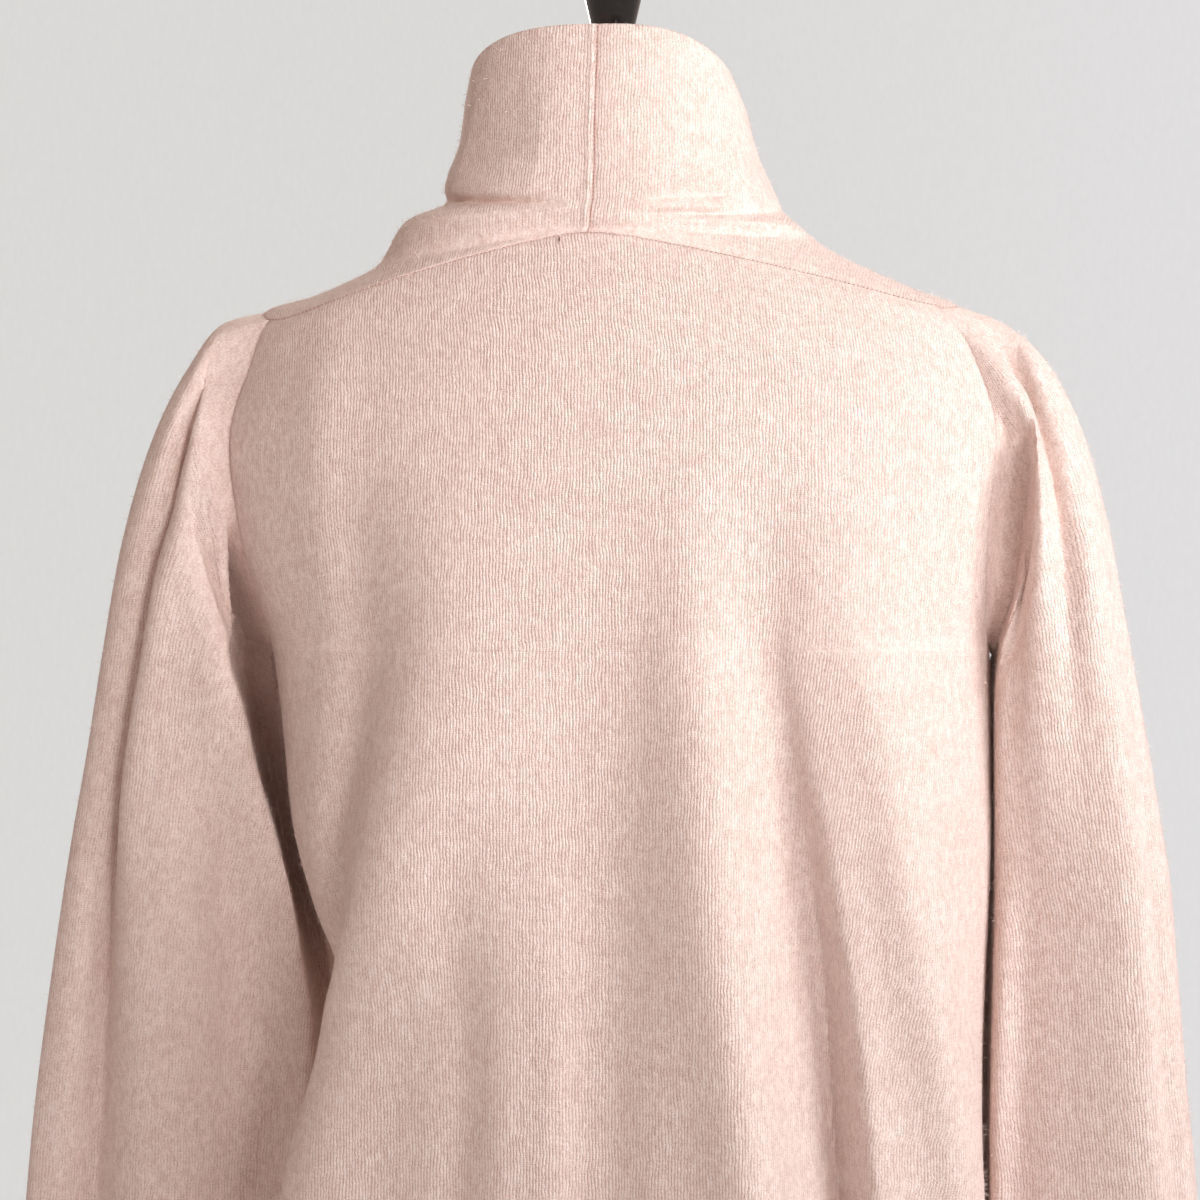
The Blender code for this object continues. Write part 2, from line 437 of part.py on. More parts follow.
def back_panel(finish, parent):
    """The back, from the hem to the shoulder seam. Returns its armhole edges."""
    levels = panel_levels()
    turns = panel_turns(levels, 1, BACK_COLUMNS)
    level = np.repeat(levels[:, None], BACK_COLUMNS + 1, axis=1)
    points = trunk_points(turns, level)
    normals = trunk_normals(turns, level)
    edges = {side: (points[len(LOW_LEVELS):, k].copy(), normals[len(LOW_LEVELS):, k].copy())
             for side, k in (("left", 0), ("right", -1))}
    low_rows = slice(0, len(LOW_LEVELS) + 1)
    points[low_rows, 0, 1] += SEAM_GAP
    points[low_rows, -1, 1] += SEAM_GAP
    points[-1] -= SEAM_GAP * unit(points[-1] - points[-2])
    inner = points - normals * WALL
    numbers = np.arange(points[..., 0].size).reshape(level.shape)
    faces = grid_faces(numbers)
    add_wall("back_panel", points.reshape(-1, 3), inner.reshape(-1, 3), faces, finish, parent)
    return edges


def front_panel(finish, parent):
    """The front, in one piece with the collar that wraps round to the centre-back seam."""
    levels = panel_levels()
    front_turns = panel_turns(levels, -1, FRONT_COLUMNS)
    back_turns = panel_turns([SEAM_LEVEL], 1, BACK_COLUMNS)[0]
    middle = BACK_COLUMNS // 2
    left, right = TIP_TURN["left"], TIP_TURN["right"]
    tip_left = np.linspace(left, -left, TIP_COLUMNS + 1)
    tip_right = np.linspace(right - 180, -right - 180, TIP_COLUMNS + 1)
    ring = np.concatenate([
        back_turns[middle:0:-1], tip_left, front_turns[-1, 1:-1], tip_right,
        back_turns[-2:middle - 1:-1] - 360,
    ])
    front_start = middle + TIP_COLUMNS
    collar_level = np.repeat(np.array(COLLAR_LEVELS)[:, None], len(ring), axis=1)
    collar_turn = np.repeat(ring[None, :], len(COLLAR_LEVELS), axis=0)
    collar = trunk_points(collar_turn, collar_level)
    collar_normals = trunk_normals(collar_turn, collar_level)
    collar[:, 0, 0] += SEAM_GAP / 2
    collar[:, -1, 0] -= SEAM_GAP / 2
    thick = curve((SEAM_LEVEL, FOOT_LEVEL), (WALL, COLLAR_WALL), collar_level)
    collar_inner = collar - collar_normals * thick[..., None]

    level = np.repeat(levels[:-1, None], FRONT_COLUMNS + 1, axis=1)
    body = trunk_points(front_turns[:-1], level)
    body_normals = trunk_normals(front_turns[:-1], level)
    body_inner = body - body_normals * WALL

    outer = np.concatenate([body.reshape(-1, 3), collar.reshape(-1, 3)])
    inner = np.concatenate([body_inner.reshape(-1, 3), collar_inner.reshape(-1, 3)])
    body_count = body[..., 0].size
    collar_numbers = body_count + np.arange(collar[..., 0].size).reshape(collar_level.shape)
    seam_row = collar_numbers[0, front_start:front_start + FRONT_COLUMNS + 1]
    body_numbers = np.vstack([np.arange(body_count).reshape(level.shape), seam_row])
    faces = np.concatenate([grid_faces(body_numbers)[:, ::-1], grid_faces(collar_numbers)[:, ::-1]])
    add_wall("front_panel", outer, inner, faces, finish, parent)

    edges = {}
    arm_rows = slice(len(LOW_LEVELS), None)
    for side, column, first, last in (
        ("left", 0, middle, front_start),
        ("right", -1, front_start + FRONT_COLUMNS, front_start + FRONT_COLUMNS + TIP_COLUMNS),
    ):
        tip = collar[0, first:last + 1], collar_normals[0, first:last + 1]
        arm = body[arm_rows, column], body_normals[arm_rows, column]
        edges[side] = tip, arm
    return edges


def armhole_loop(side, back_edges, front_edges):
    """Points and normals round the armhole from its top, by the back, the underarm and the front."""
    back_points, back_normals = back_edges[side]
    (tip_points, tip_normals), (arm_points, arm_normals) = front_edges[side]
    if side == "right":
        tip_points, tip_normals = tip_points[::-1], tip_normals[::-1]
    half = TIP_COLUMNS // 2
    points = [tip_points[half::-1], back_points[-2:0:-1], arm_points, tip_points[:half:-1]]
    normals = [tip_normals[half::-1], back_normals[-2:0:-1], arm_normals, tip_normals[:half:-1]]
    return np.concatenate(points), np.concatenate(normals)


def sleeve(side, back_edges, front_edges, finish, parent):
    """A set-in sleeve: rings from the armhole's edge down to the plain turned end."""
    sign, table, folds = SLEEVES[side]
    edge, edge_normals = armhole_loop(side, back_edges, front_edges)
    count = len(edge)
    underarm = TIP_COLUMNS // 2 + ARM_STEPS
    step = np.linalg.norm(np.roll(edge, -1, axis=0) - edge, axis=1)
    gone = np.concatenate([[0], np.cumsum(step)])
    first_half = 180 * gone[:underarm + 1] / gone[underarm]
    rest = 180 + 180 * (gone[underarm + 1:count] - gone[underarm]) / (gone[count] - gone[underarm])
    turn = np.concatenate([first_half, rest])

    onward = unit(np.roll(edge, -1, axis=0) - edge)
    before = unit(np.cross(edge_normals, np.roll(onward, 1, axis=0)))
    after = unit(np.cross(edge_normals, onward))
    into_hole = (before + after) / (1 + np.sum(before * after, axis=1, keepdims=True))
    into_hole *= np.sign(np.sum(into_hole * (edge.mean(axis=0) - edge), axis=1))[:, None]
    start = edge + SLEEVE_GAP * into_hole

    up = np.cos(np.radians(turn))
    out = np.sin(np.radians(turn))
    power = 2 / SLEEVE_ROUND
    up_power = np.sign(up) * np.abs(up) ** power
    out_power = np.sign(out) * np.abs(out) ** power
    rings = [start]
    for k in range(len(table["outer"])):
        row = {name: column[k] for name, column in table.items()}
        middle = (row["outer"] + row["inner"]) / 2
        half = (row["outer"] - row["inner"]) / 2
        middle_z = (row["outer_z"] + row["inner_z"]) / 2
        half_z = (row["outer_z"] - row["inner_z"]) / 2
        x = middle + half * up_power + row["belly"] * out_power**2
        y = row["mid"] + row["deep"] * out_power + row["swing"] * up_power / 2
        rings.append(np.stack([sign * x, y, middle_z + half_z * up_power], axis=-1))
    level = np.array(SLEEVE_LEVELS)
    points = curve(np.arange(len(rings)), np.array(rings), level)

    normals = tube_normals(points, sign)
    depth = fold_depth(folds, SLEEVE_FOLD_LEVELS, turn[None, :], level[:, None])
    points = points + normals * depth[..., None]
    normals = tube_normals(points, sign)
    like_body = np.clip(np.sum(normals[0] * edge_normals, axis=1, keepdims=True) * 4, 0, 1)
    normals[0] = unit(normals[0] * (1 - like_body) + edge_normals * like_body)
    inner = points - normals * WALL

    numbers = np.arange(points[..., 0].size).reshape(len(level), count)
    numbers = np.hstack([numbers, numbers[:, :1]])
    faces = grid_faces(numbers)
    if sign > 0:
        faces = faces[:, ::-1]
    name = f"sleeve_{side}"
    add_wall(name, points.reshape(-1, 3), inner.reshape(-1, 3), faces, finish, parent)


def tube_normals(points, sign):
    """Unit normals of a tube of rings, pointing out."""
    round_it = np.roll(points, -1, axis=1) - np.roll(points, 1, axis=1)
    down_it = np.gradient(points, axis=0)
    return unit(np.cross(down_it, round_it)) * sign


def dress_form(finish, parent):
    """The limbless torso with its neck, closed flat at both ends."""
    turn = np.linspace(0, 360, FORM_COLUMNS, endpoint=False)
    level = np.array(FORM_LEVELS, float)
    points, _ = loop_points(FORM, turn[None, :], level[:, None])
    numbers = np.arange(points[..., 0].size).reshape(len(level), FORM_COLUMNS)
    wrapped = np.hstack([numbers, numbers[:, :1]])
    faces = [tuple(face) for face in grid_faces(wrapped)]
    faces.append(tuple(numbers[0, ::-1]))
    faces.append(tuple(numbers[-1]))
    add_object("form_torso", points.reshape(-1, 3), faces, finish, parent)


def turned(name, profile, place, height, steps, finish, parent):
    """A turned piece: its profile, stretched to the height given, spun round the upright axis."""
    tallest = profile[0][1]
    points = [(radius, 0.0, z * height / tallest) for radius, z in profile]
    mesh = bpy.data.meshes.new(name)
    mesh.from_pydata(points, [(k, k + 1) for k in range(len(points) - 1)], [])
    mesh.materials.append(finish)
    made = bpy.data.objects.new(name, mesh)
    made.parent = parent
    made.location = place
    bpy.context.scene.collection.objects.link(made)
    screw = made.modifiers.new("spin", "SCREW")
    screw.axis = "Z"
    screw.angle = np.radians(360)
    screw.steps = steps
    screw.render_steps = steps
    screw.use_merge_vertices = True
    screw.merge_threshold = 0.0001
    screw.use_smooth_shade = True
    return made


def stand(finish, parent):
    """The neck cap and finial above the torso, and the pole and round base under it."""
    cap_z = NECK_TOP_Z + SEAM_GAP
    turned("form_neck_cap", CAP_PROFILE, (0, NECK_MID_Y, cap_z), CAP_HEIGHT, TURNED_STEPS, finish, parent)
    finial_z = cap_z + CAP_HEIGHT + SEAM_GAP
    finial_height = FINIAL_PROFILE[0][1]
    turned("form_finial", FINIAL_PROFILE, (0, 0, finial_z), finial_height, TURNED_STEPS, finish, parent)
    pole_z = BASE_BOSS_Z + SEAM_GAP
    pole_height = FORM_BOTTOM_Z - SEAM_GAP - pole_z
    turned("stand_pole", POLE_PROFILE, (0, 0, pole_z), pole_height, TURNED_STEPS, finish, parent)
    turned("stand_base", BASE_PROFILE, (0, 0, 0), BASE_BOSS_Z, BASE_STEPS, finish, parent)


def main():
    for old in list(bpy.data.objects):
        bpy.data.objects.remove(old, do_unlink=True)
    whole = bpy.data.objects.new("sweater_on_dress_form", None)
    bpy.context.scene.collection.objects.link(whole)
    knit = material("blush_brushed_knit", (0.87, 0.73, 0.66), 0.95, sheen=0.3)
    canvas = material("ecru_form_canvas", (0.70, 0.66, 0.59), 0.85)
    lacquer = material("black_lacquer", (0.012, 0.011, 0.011), 0.12)
    back_edges = back_panel(knit, whole)
    front_edges = front_panel(knit, whole)
    for side in SLEEVES:
        sleeve(side, back_edges, front_edges, knit, whole)
    dress_form(canvas, whole)
    stand(lacquer, whole)


main()
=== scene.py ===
"""The looks of a turtleneck sweater on a limbless dress form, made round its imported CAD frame.

Metres, +Z up. The sweater faces -Y and its wearer's left is +X. The trunk and the collar share one
surface, on which a point has a turn, in degrees round the body from the wearer's left (0) through
the centre back (90) to the wearer's right (180) and on to the centre front (-90), and a level, which
counts the rows of LOOPS from the hem up. A sleeve has a turn round its tube, from its top edge (0)
through the back (90) and the underarm seam (180) to the front (270), and a level that counts its
rings from the armhole down. Each piece of cloth is a wall with knit coordinates on it, in metres
across and along the wales.
"""

import logging
from collections.abc import Iterable, Sequence
from dataclasses import dataclass, field
from enum import Enum

import bpy
import numpy as np
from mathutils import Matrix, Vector


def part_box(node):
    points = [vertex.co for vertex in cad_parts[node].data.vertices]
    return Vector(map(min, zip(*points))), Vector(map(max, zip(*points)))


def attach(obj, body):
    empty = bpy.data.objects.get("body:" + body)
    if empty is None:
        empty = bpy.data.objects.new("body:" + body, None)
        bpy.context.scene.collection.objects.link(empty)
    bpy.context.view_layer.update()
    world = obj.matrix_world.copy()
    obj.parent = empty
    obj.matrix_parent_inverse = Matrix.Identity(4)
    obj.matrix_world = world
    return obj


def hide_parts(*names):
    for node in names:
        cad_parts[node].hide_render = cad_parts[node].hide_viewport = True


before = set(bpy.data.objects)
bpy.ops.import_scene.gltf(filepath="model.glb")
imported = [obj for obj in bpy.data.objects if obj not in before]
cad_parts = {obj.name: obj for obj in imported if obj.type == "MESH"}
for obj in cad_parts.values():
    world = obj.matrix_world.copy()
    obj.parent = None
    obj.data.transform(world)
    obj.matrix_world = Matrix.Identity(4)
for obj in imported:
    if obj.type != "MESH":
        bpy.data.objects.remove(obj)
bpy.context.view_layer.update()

log = logging.getLogger("sweater")
logging.basicConfig(level=logging.INFO, format="%(name)s: %(message)s")


@dataclass(frozen=True)
class Fold:
    """A fold that runs down the cloth.

    Its turns and how far it stands out, in millimetres, are given at the heights or levels of its
    table, then its reach in turns to either side and its sharpness (2 is round, less is pinched).
    """

    turns: tuple[float, ...]
    out: tuple[float, ...]
    below: float
    above: float
    sharpness: float = 2.0


@dataclass(frozen=True)
class Crease:
    """A crease or a swell round the collar, from one turn and level to another.

    It stands out by so many millimetres and reaches so many levels to either side.
    """

    start: float
    start_level: float
    end: float
    end_level: float
    out: float
    reach: float


@dataclass(frozen=True)
class BackEdge:
    """Where a sleeve's back breaks off in a crisp upright edge.

    Each row has a height, the edge's half width from the sweater's middle, how far the cloth outside
    it comes back and how far the cloth inside it sinks, all in millimetres. For each step back or in,
    the cloth also shifts across by the share over or under, which undercuts the edge.
    """

    rows: tuple[tuple[float, ...], ...]
    softness: float
    reach: float
    over: float
    under: float


# --- The trunk and the collar, in millimetres, but for the last two columns, which are powers: how
# square the loop's corners are and how steeply the shoulders climb.
LOOP_COLUMNS = (
    "left", "left_z", "right", "right_z", "mid", "back", "back_z", "front",
    "front_z", "ridge", "lean", "corner", "pitch",
)
LOOPS = {
    "hem": (172, 757, 209, 757, -4, 122, 757, -130, 757, 0, 0, 2.5, 2.0),
    "high hip": (163, 830, 209, 830, -4, 122, 830, -130, 830, 0, 0, 2.5, 2.0),
    "below waist": (154, 900, 209, 900, -4, 121, 900, -130, 900, 0, 0, 2.5, 2.0),
    "low waist": (150, 950, 210, 950, -4, 120, 950, -130, 950, 0, 0, 2.5, 2.0),
    "waist": (155, 1000, 212, 1000, -4, 119, 1000, -130, 1000, 0, 0, 2.5, 2.0),
    "over waist": (170, 1040, 214, 1040, -4, 118, 1040, -130, 1040, 0, 0, 2.5, 2.0),
    "rib": (183, 1090, 215.5, 1090, -3, 116, 1090, -130, 1090, 0, 0, 2.5, 2.0),
    "under bust": (188, 1140, 215.5, 1140, -2, 114, 1140, -129, 1140, 0, 0, 2.5, 2.0),
    "underarm": (194, 1185, 214, 1185, 0, 112, 1185, -127, 1185, 0, 0, 2.4, 2.0),
    "bust": (216, 1245, 224, 1245, 0, 109, 1262, -122, 1255, 0, 0, 2.4, 1.6),
    "blade": (228, 1300, 236, 1300, 0, 100, 1330, -113, 1300, 0, 0, 2.3, 1.4),
    "yoke": (216.5, 1345, 224, 1345, 0, 80, 1378, -104, 1330, 4, 4, 2.4, 1.2),
    "seam": (200, 1379, 196, 1379, 0, 58, 1417, -100, 1352, 16, 8, 3.0, 1.12),
    "shoulder": (170, 1388, 170, 1389, -2, 57.5, 1418.5, -99, 1357, 8, 8, 2.7, 1.1),
    "foot": (136, 1405.5, 124, 1410.8, -6, 57, 1420.5, -98, 1362.5, 3, 7, 2.4, 1.3),
    "roll": (121, 1427.5, 109, 1422.5, -10, 58.5, 1428, -98.5, 1372, 0, 6.5, 2.3, 1.8),
    "crease": (100.5, 1442.5, 95.5, 1438.5, -14, 55, 1439, -96.5, 1384, 0, 5.5, 2.3, 2.2),
    "low neck": (94, 1460.5, 85, 1458, -18, 52.5, 1457, -96.5, 1400, 0, 5, 2.3, 2.3),
    "neck": (89.5, 1477, 79, 1476, -21, 50.5, 1480, -97, 1422, 0, 4.8, 2.3, 2.3),
    "high neck": (87.5, 1493.5, 74.5, 1493, -24, 48, 1507, -97.5, 1447, 0, 4.2, 2.3, 2.3),
    "rim": (84.5, 1507, 69.5, 1501.5, -26, 45.5, 1533, -98, 1470, 0, 3.8, 2.3, 2.3),
}
LOOP_TABLE = np.array(list(LOOPS.values()))
LOOP_TABLE[:, :-2] /= 1000

# --- The trunk's folds, given at these heights in metres. They fade out between two levels.
FOLD_HEIGHTS = (0.757, 0.9, 0.98, 1.06, 1.14, 1.22, 1.3)
FOLDS_FADE = (10.2, 11.8)
TRUNK_FOLDS = {
    "back ridge right of centre": Fold((112, 108.7, 106, 103, 101.7, 100.5, 100),
                                       (15, 14, 13, 11, 8, 4, 0), 6.5, 6.5),
    "back centre trough": Fold((89, 89.5, 90, 90.6, 91.6, 94.5, 96),
                               (-11, -11, -10, -8, -5, -2, 0), 8, 5),
    "back deep trough": Fold((123, 120, 117.5, 115, 112.5, 110.5, 110),
                             (-10, -10, -10, -10, -9, -5, 0), 6.5, 6),
    "back pinched core": Fold((134, 129.3, 125.4, 120.1, 115.2, 113.5, 113),
                              (-34, -33, -26, -14, -5, 0, 0), 7.0, 1.3, 1.6),
    "back right ridge": Fold((160, 152.5, 144.5, 136.5, 131.5, 124.5, 119),
                             (15, 14, 13, 11, 8, 4, 0), 7, 15),
    "back left flare": Fold((27, 28, 34, 54, 64.5, 70, 73), (46, 38, 25, 17, 14, 8, 0), 13, 16),
    "back left recess": Fold((10, 12, 20, 38, 48, 53, 56), (0, 0, -3, -9, -9, -5, 0), 8, 9),
    "back left ridge": Fold((20, 20, 20, 30, 41, 48, 50), (0, 0, 0, 1, 3, 4, 3), 6, 6),
    "back soft ridge": Fold((85, 85.6, 86, 86, 86, 86, 86), (5, 5, 4, 2, 0, 0, 0), 4, 4),
    "back soft dip": Fold((67, 67, 67, 70, 72, 72, 72), (-5, -5, -4, -2, 0, 0, 0), 6, 6),
    "front left ridge": Fold((-62, -63, -64, -66, -68, -70, -70), (15, 14, 12, 9, 6, 2, 0), 8, 8),
    "front centre trough": Fold((-84, -85, -86, -87, -88, -88, -88),
                                (-11, -10, -9, -7, -4, -1, 0), 8, 7),
    "front right ridge": Fold((-116, -114, -112, -110, -108, -107, -107),
                              (16, 15, 13, 10, 6, 2, 0), 7, 8),
    "front right trough": Fold((-133, -131, -129, -127, -125, -124, -124),
                               (-13, -12, -11, -9, -5, -2, 0), 6, 6),
    "front right flank": Fold((-151, -149, -148, -146, -144, -142, -142),
                              (10, 10, 9, 7, 4, 2, 0), 7, 8),
    "front right recess": Fold((-167, -167, -167, -167, -167, -167, -167),
                               (-12, -12, -12, -12, -10, -5, 0), 9, 9),
    "front left trough": Fold((-44, -45, -46, -48, -50, -50, -50), (-9, -9, -8, -7, -4, -1, 0), 7, 7),
    "front left flank": Fold((-26, -27, -28, -30, -32, -33, -33), (9, 9, 8, 6, 4, 1, 0), 8, 8),
}

# --- The collar's creases, which taper to nothing at both ends.
CREASE_TAPER = 0.7
COLLAR_CREASES = {
    "left neck crease": Crease(-30, 16.0, 82, 15.6, -5.5, 0.32),
    "left overhang": Crease(-10, 16.9, 78, 16.6, 2.2, 0.55),
    "left foot crease": Crease(-12, 14.0, 88, 13.4, -2.8, 0.35),
    "right neck crease": Crease(97, 14.8, 190, 15.9, -4.5, 0.34),
    "right overhang": Crease(100, 16.2, 185, 16.8, 1.8, 0.55),
    "right foot crease": Crease(104, 13.9, 168, 14.4, -2.4, 0.34),
    "left hollow": Crease(30, 17.4, 72, 17.6, -3.0, 0.9),
    "back swell": Crease(62, 18.6, 100, 18.2, 1.6, 1.0),
    "right hollow": Crease(104, 16.6, 150, 17.2, -1.6, 0.8),
    "front crease": Crease(-150, 15.6, -35, 15.7, -4.0, 0.4),
    "front slump": Crease(-140, 17.9, -50, 17.6, -2.0, 0.7),
    "left hard crease": Crease(12, 16.0, 84, 15.62, -3.2, 0.13),
    "left crease's lip": Crease(10, 16.35, 84, 15.98, 1.5, 0.17),
    "left roll": Crease(0, 15.2, 80, 14.7, 1.8, 0.4),
    "left slack fold": Crease(24, 17.2, 74, 16.5, -1.0, 0.22),
    "right soft line": Crease(101, 15.75, 140, 16.1, -1.5, 0.14),
    "right lower line": Crease(99, 15.05, 132, 15.15, -1.3, 0.13),
    "right roll": Crease(100, 15.4, 150, 15.5, 1.0, 0.2),
    "right foot line": Crease(108, 14.35, 160, 14.6, -1.2, 0.13),
}

# --- The sleeves' rings from the armhole down, in millimetres: the half width from the sweater's
# middle and the height of the outer edge, then of the inner one, the tube's place in Y, its half
# depth, how far the inner edge lies forward of the outer one, and the bulge away from the body.
LEFT_RINGS = (
    (220, 1373, 197, 1180, 0, 54, 4, 16),
    (240, 1346, 197, 1170, -1, 57, 16, 12),
    (259, 1305, 193, 1153, -4, 60, 34, 6),
    (276, 1245, 190.5, 1128, -7, 61, 46, 2),
    (288, 1178, 188, 1100, -11, 60, 52, 0),
    (297, 1122, 184.5, 1070, -14, 57, 56, 0),
    (306.5, 1072, 176.5, 1035, -17, 52, 56, 0),
    (316.5, 1010, 169, 990, -18, 46, 54, 0),
    (324.5, 958, 166.5, 955, -19, 41, 50, 0),
    (331.5, 910, 169, 910, -20, 37, 46, 0),
    (337, 860, 174, 860, -20, 35, 42, 0),
    (343, 790, 181, 790, -20, 36, 40, 0),
)
RIGHT_RINGS = (
    (216.5, 1371, 216, 1180, 0, 54, 4, 16),
    (237, 1356, 215.5, 1169, -1, 57, 18, 12),
    (260, 1320, 213, 1152, -6, 60, 38, 6),
    (278, 1262, 210.5, 1130, -11, 61, 48, 2),
    (289.5, 1200, 209.5, 1104, -14, 60, 50, 0),
    (298.5, 1150, 208.5, 1074, -18, 58, 54, 0),
    (307, 1100, 208, 1040, -20, 56, 56, 0),
    (314.5, 1052, 207, 1005, -21, 55, 56, 0),
    (318, 1008, 206, 972, -22, 54, 56, 0),
    (323.5, 940, 205, 925, -22, 53, 54, 0),
    (329, 875, 205, 870, -22, 53, 52, 0),
    (330, 790, 206, 790, -22, 53, 50, 0),
)

SLEEVE_FOLD_LEVELS = (0, 1.2, 2.4, 4, 6, 8, 10, 12)
LEFT_SLEEVE_FOLDS = {
    "seam valley": Fold((122, 122, 124, 128, 128, 128, 128, 128), (0, -10, -5, 0, 0, 0, 0, 0), 26, 24),
    "outer pipe": Fold((18, 18, 18, 14, 12, 14, 18, 20), (0, 1, 2, 3, 4, 5, 6, 6), 12, 12),
    "outer trough": Fold((52, 52, 60, 48, 40, 50, 57, 60),
                         (0, -10, -16, -18, -19, -21, -20, -17), 12, 12),
    "back crest": Fold((118, 116, 112, 106, 92, 85, 87, 88), (0, 0, 2, 5, 7, 8, 9, 9), 18, 20),
    "back dip": Fold((110, 110, 110, 110, 108, 107, 107, 107), (0, 0, 0, 0, -2, -4, -3, -2), 8, 8),
    "inner pipe": Fold((150, 150, 150, 150, 148, 145, 140, 138), (0, 0, 0, 0, 3, 4, 4, 4), 12, 14),
    "front trough": Fold((292, 292, 292, 294, 296, 298, 300, 300),
                         (0, -1, -3, -5, -7, -8, -9, -9), 15, 15),
    "front crest": Fold((258, 258, 258, 256, 254, 252, 250, 250), (0, 1, 3, 5, 6, 7, 8, 8), 16, 16),
    "front dip": Fold((222, 222, 222, 220, 218, 216, 215, 215),
                      (0, -1, -2, -3, -4, -5, -5, -5), 11, 11),
    "inner swell": Fold((196, 196, 196, 196, 196, 197, 198, 198), (0, 0, 0, 2, 9, 11, 7, 4), 10, 16),
}
RIGHT_SLEEVE_FOLDS = {
    "seam valley": Fold((104, 104, 112, 118, 118, 118, 118, 118), (0, -11, -4, 0, 0, 0, 0, 0), 30, 28),
    "cap crease": Fold((30, 48, 66, 76, 78, 78, 78, 78), (-1, -8, -10, -6, -1, 0, 0, 0), 18, 7),
    "cap ridge": Fold((50, 66, 84, 94, 98, 100, 100, 100), (0, 3, 4, 4, 2, 0, 0, 0), 9, 14),
    "back crest": Fold((96, 96, 98, 100, 106, 112, 116, 118), (0, 0, 1, 3, 6, 9, 10, 10), 22, 20),
    "outer dip": Fold((30, 30, 30, 30, 30, 32, 34, 36), (0, 0, 0, -1, -3, -4, -5, -5), 12, 12),
    "inner dip": Fold((152, 152, 152, 152, 152, 154, 156, 158), (0, 0, 0, -1, -3, -5, -6, -6), 11, 12),
    "front crest": Fold((296, 296, 296, 294, 292, 290, 288, 286), (0, 1, 2, 4, 6, 7, 8, 8), 16, 16),
    "front trough": Fold((256, 256, 256, 255, 254, 252, 250, 250),
                         (0, -1, -3, -5, -7, -8, -9, -9), 14, 14),
    "front inner crest": Fold((218, 218, 218, 216, 214, 212, 210, 210),
                              (0, 1, 2, 3, 5, 6, 6, 6), 13, 13),
    "inner swell": Fold((192, 192, 192, 192, 194, 196, 198, 198), (0, 3, 5, 6, 4, 3, 2, 2), 9, 16),
}

LEFT_EDGE = BackEdge(
    rows=(
        (1285, 211, 0, 0), (1262, 211.5, 1, 20), (1225, 211.5, 5, 36), (1187, 211.2, 10, 40),
        (1152, 204.5, 18, 36), (1117, 199.5, 26, 34), (1082, 192, 30, 28), (1032, 182, 30, 18),
        (963, 173, 27, 8), (860, 179, 24, 0), (790, 186, 22, 0),
    ),
    softness=0.003, reach=0.02, over=0.2, under=0.5,
)
RIGHT_EDGE = BackEdge(
    rows=(
        (1325, 237, 0, 0), (1300, 238, 2, 10), (1257, 235, 4, 14), (1216, 229, 6, 12),
        (1185, 219, 14, 4), (1160, 216.4, 24, 0), (1080, 216.2, 26, 0), (1000, 214, 34, 0),
        (940, 212.2, 34, 0), (860, 211.2, 32, 0), (790, 211.6, 30, 0),
    ),
    softness=0.0024, reach=0.012, over=0.07, under=0.0,
)

# --- How finely the cloth is divided.
LOW_ROWS = 112
ARM_ROWS = 88
BACK_COLUMNS = 200
FRONT_COLUMNS = 110
TIP_COLUMNS = 16
COLLAR_ROWS = 62
SLEEVE_ROWS = 116


def curve(knots: Sequence[float], values: Sequence[float], at: np.ndarray | float) -> np.ndarray:
    """Values read off the smooth curve through the knots, which never overshoots them.

    Args:
        knots: Places of the knots, rising.
        values: A value, or an array of them, at each knot.
        at: Places to read.

    Returns:
        The value at each place.
    """
    knots = np.asarray(knots, float)
    values = np.asarray(values, float)
    at = np.clip(np.asarray(at, float), knots[0], knots[-1])
    flat = values.reshape(len(knots), -1)
    step = np.diff(knots)[:, None]
    slope = np.diff(flat, axis=0) / step
    weight_before = 2 * step[1:] + step[:-1]
    weight_after = step[1:] + 2 * step[:-1]
    same_way = slope[:-1] * slope[1:] > 0
    before = np.where(same_way, slope[:-1], 1.0)
    after = np.where(same_way, slope[1:], 1.0)
    mean = (weight_before + weight_after) / (weight_before / before + weight_after / after)
    tangent = np.vstack([slope[:1], np.where(same_way, mean, 0.0), slope[-1:]])
    spot = at.reshape(-1)
    k = np.clip(np.searchsorted(knots, spot, side="right") - 1, 0, len(knots) - 2)
    span = step[k]
    t = (spot - knots[k])[:, None] / span
    found = (
        (2 * t**3 - 3 * t**2 + 1) * flat[k]
        + (t**3 - 2 * t**2 + t) * span * tangent[k]
        + (3 * t**2 - 2 * t**3) * flat[k + 1]
        + (t**3 - t**2) * span * tangent[k + 1]
    )
    return found.reshape(at.shape + values.shape[1:])


def unit(vectors: np.ndarray) -> np.ndarray:
    """Each vector at length one."""
    return vectors / np.maximum(np.linalg.norm(vectors, axis=-1, keepdims=True), 1e-12)


def soft_step(low: float, high: float, at: np.ndarray) -> np.ndarray:
    """A smooth rise from 0 at low to 1 at high."""
    share = np.clip((at - low) / (high - low), 0, 1)
    return share * share * (3 - 2 * share)


def turn_from(turn: np.ndarray, centre: np.ndarray | float) -> np.ndarray:
    """How far each turn lies from the centre, the short way round."""
    return (turn - centre + 180) % 360 - 180


def run_along(points: np.ndarray, axis: int) -> np.ndarray:
    """Distance gone along a grid of points, from its first row or column.

    Args:
        points: Rows by columns by 3.
        axis: 0 to go down the rows, 1 to go along the columns.

    Returns:
        Rows by columns of distances.
    """
    steps = np.linalg.norm(np.diff(points, axis=axis), axis=2)
    start = np.zeros_like(np.take(steps, [0], axis=axis))
    return np.concatenate([start, np.cumsum(steps, axis=axis)], axis=axis)


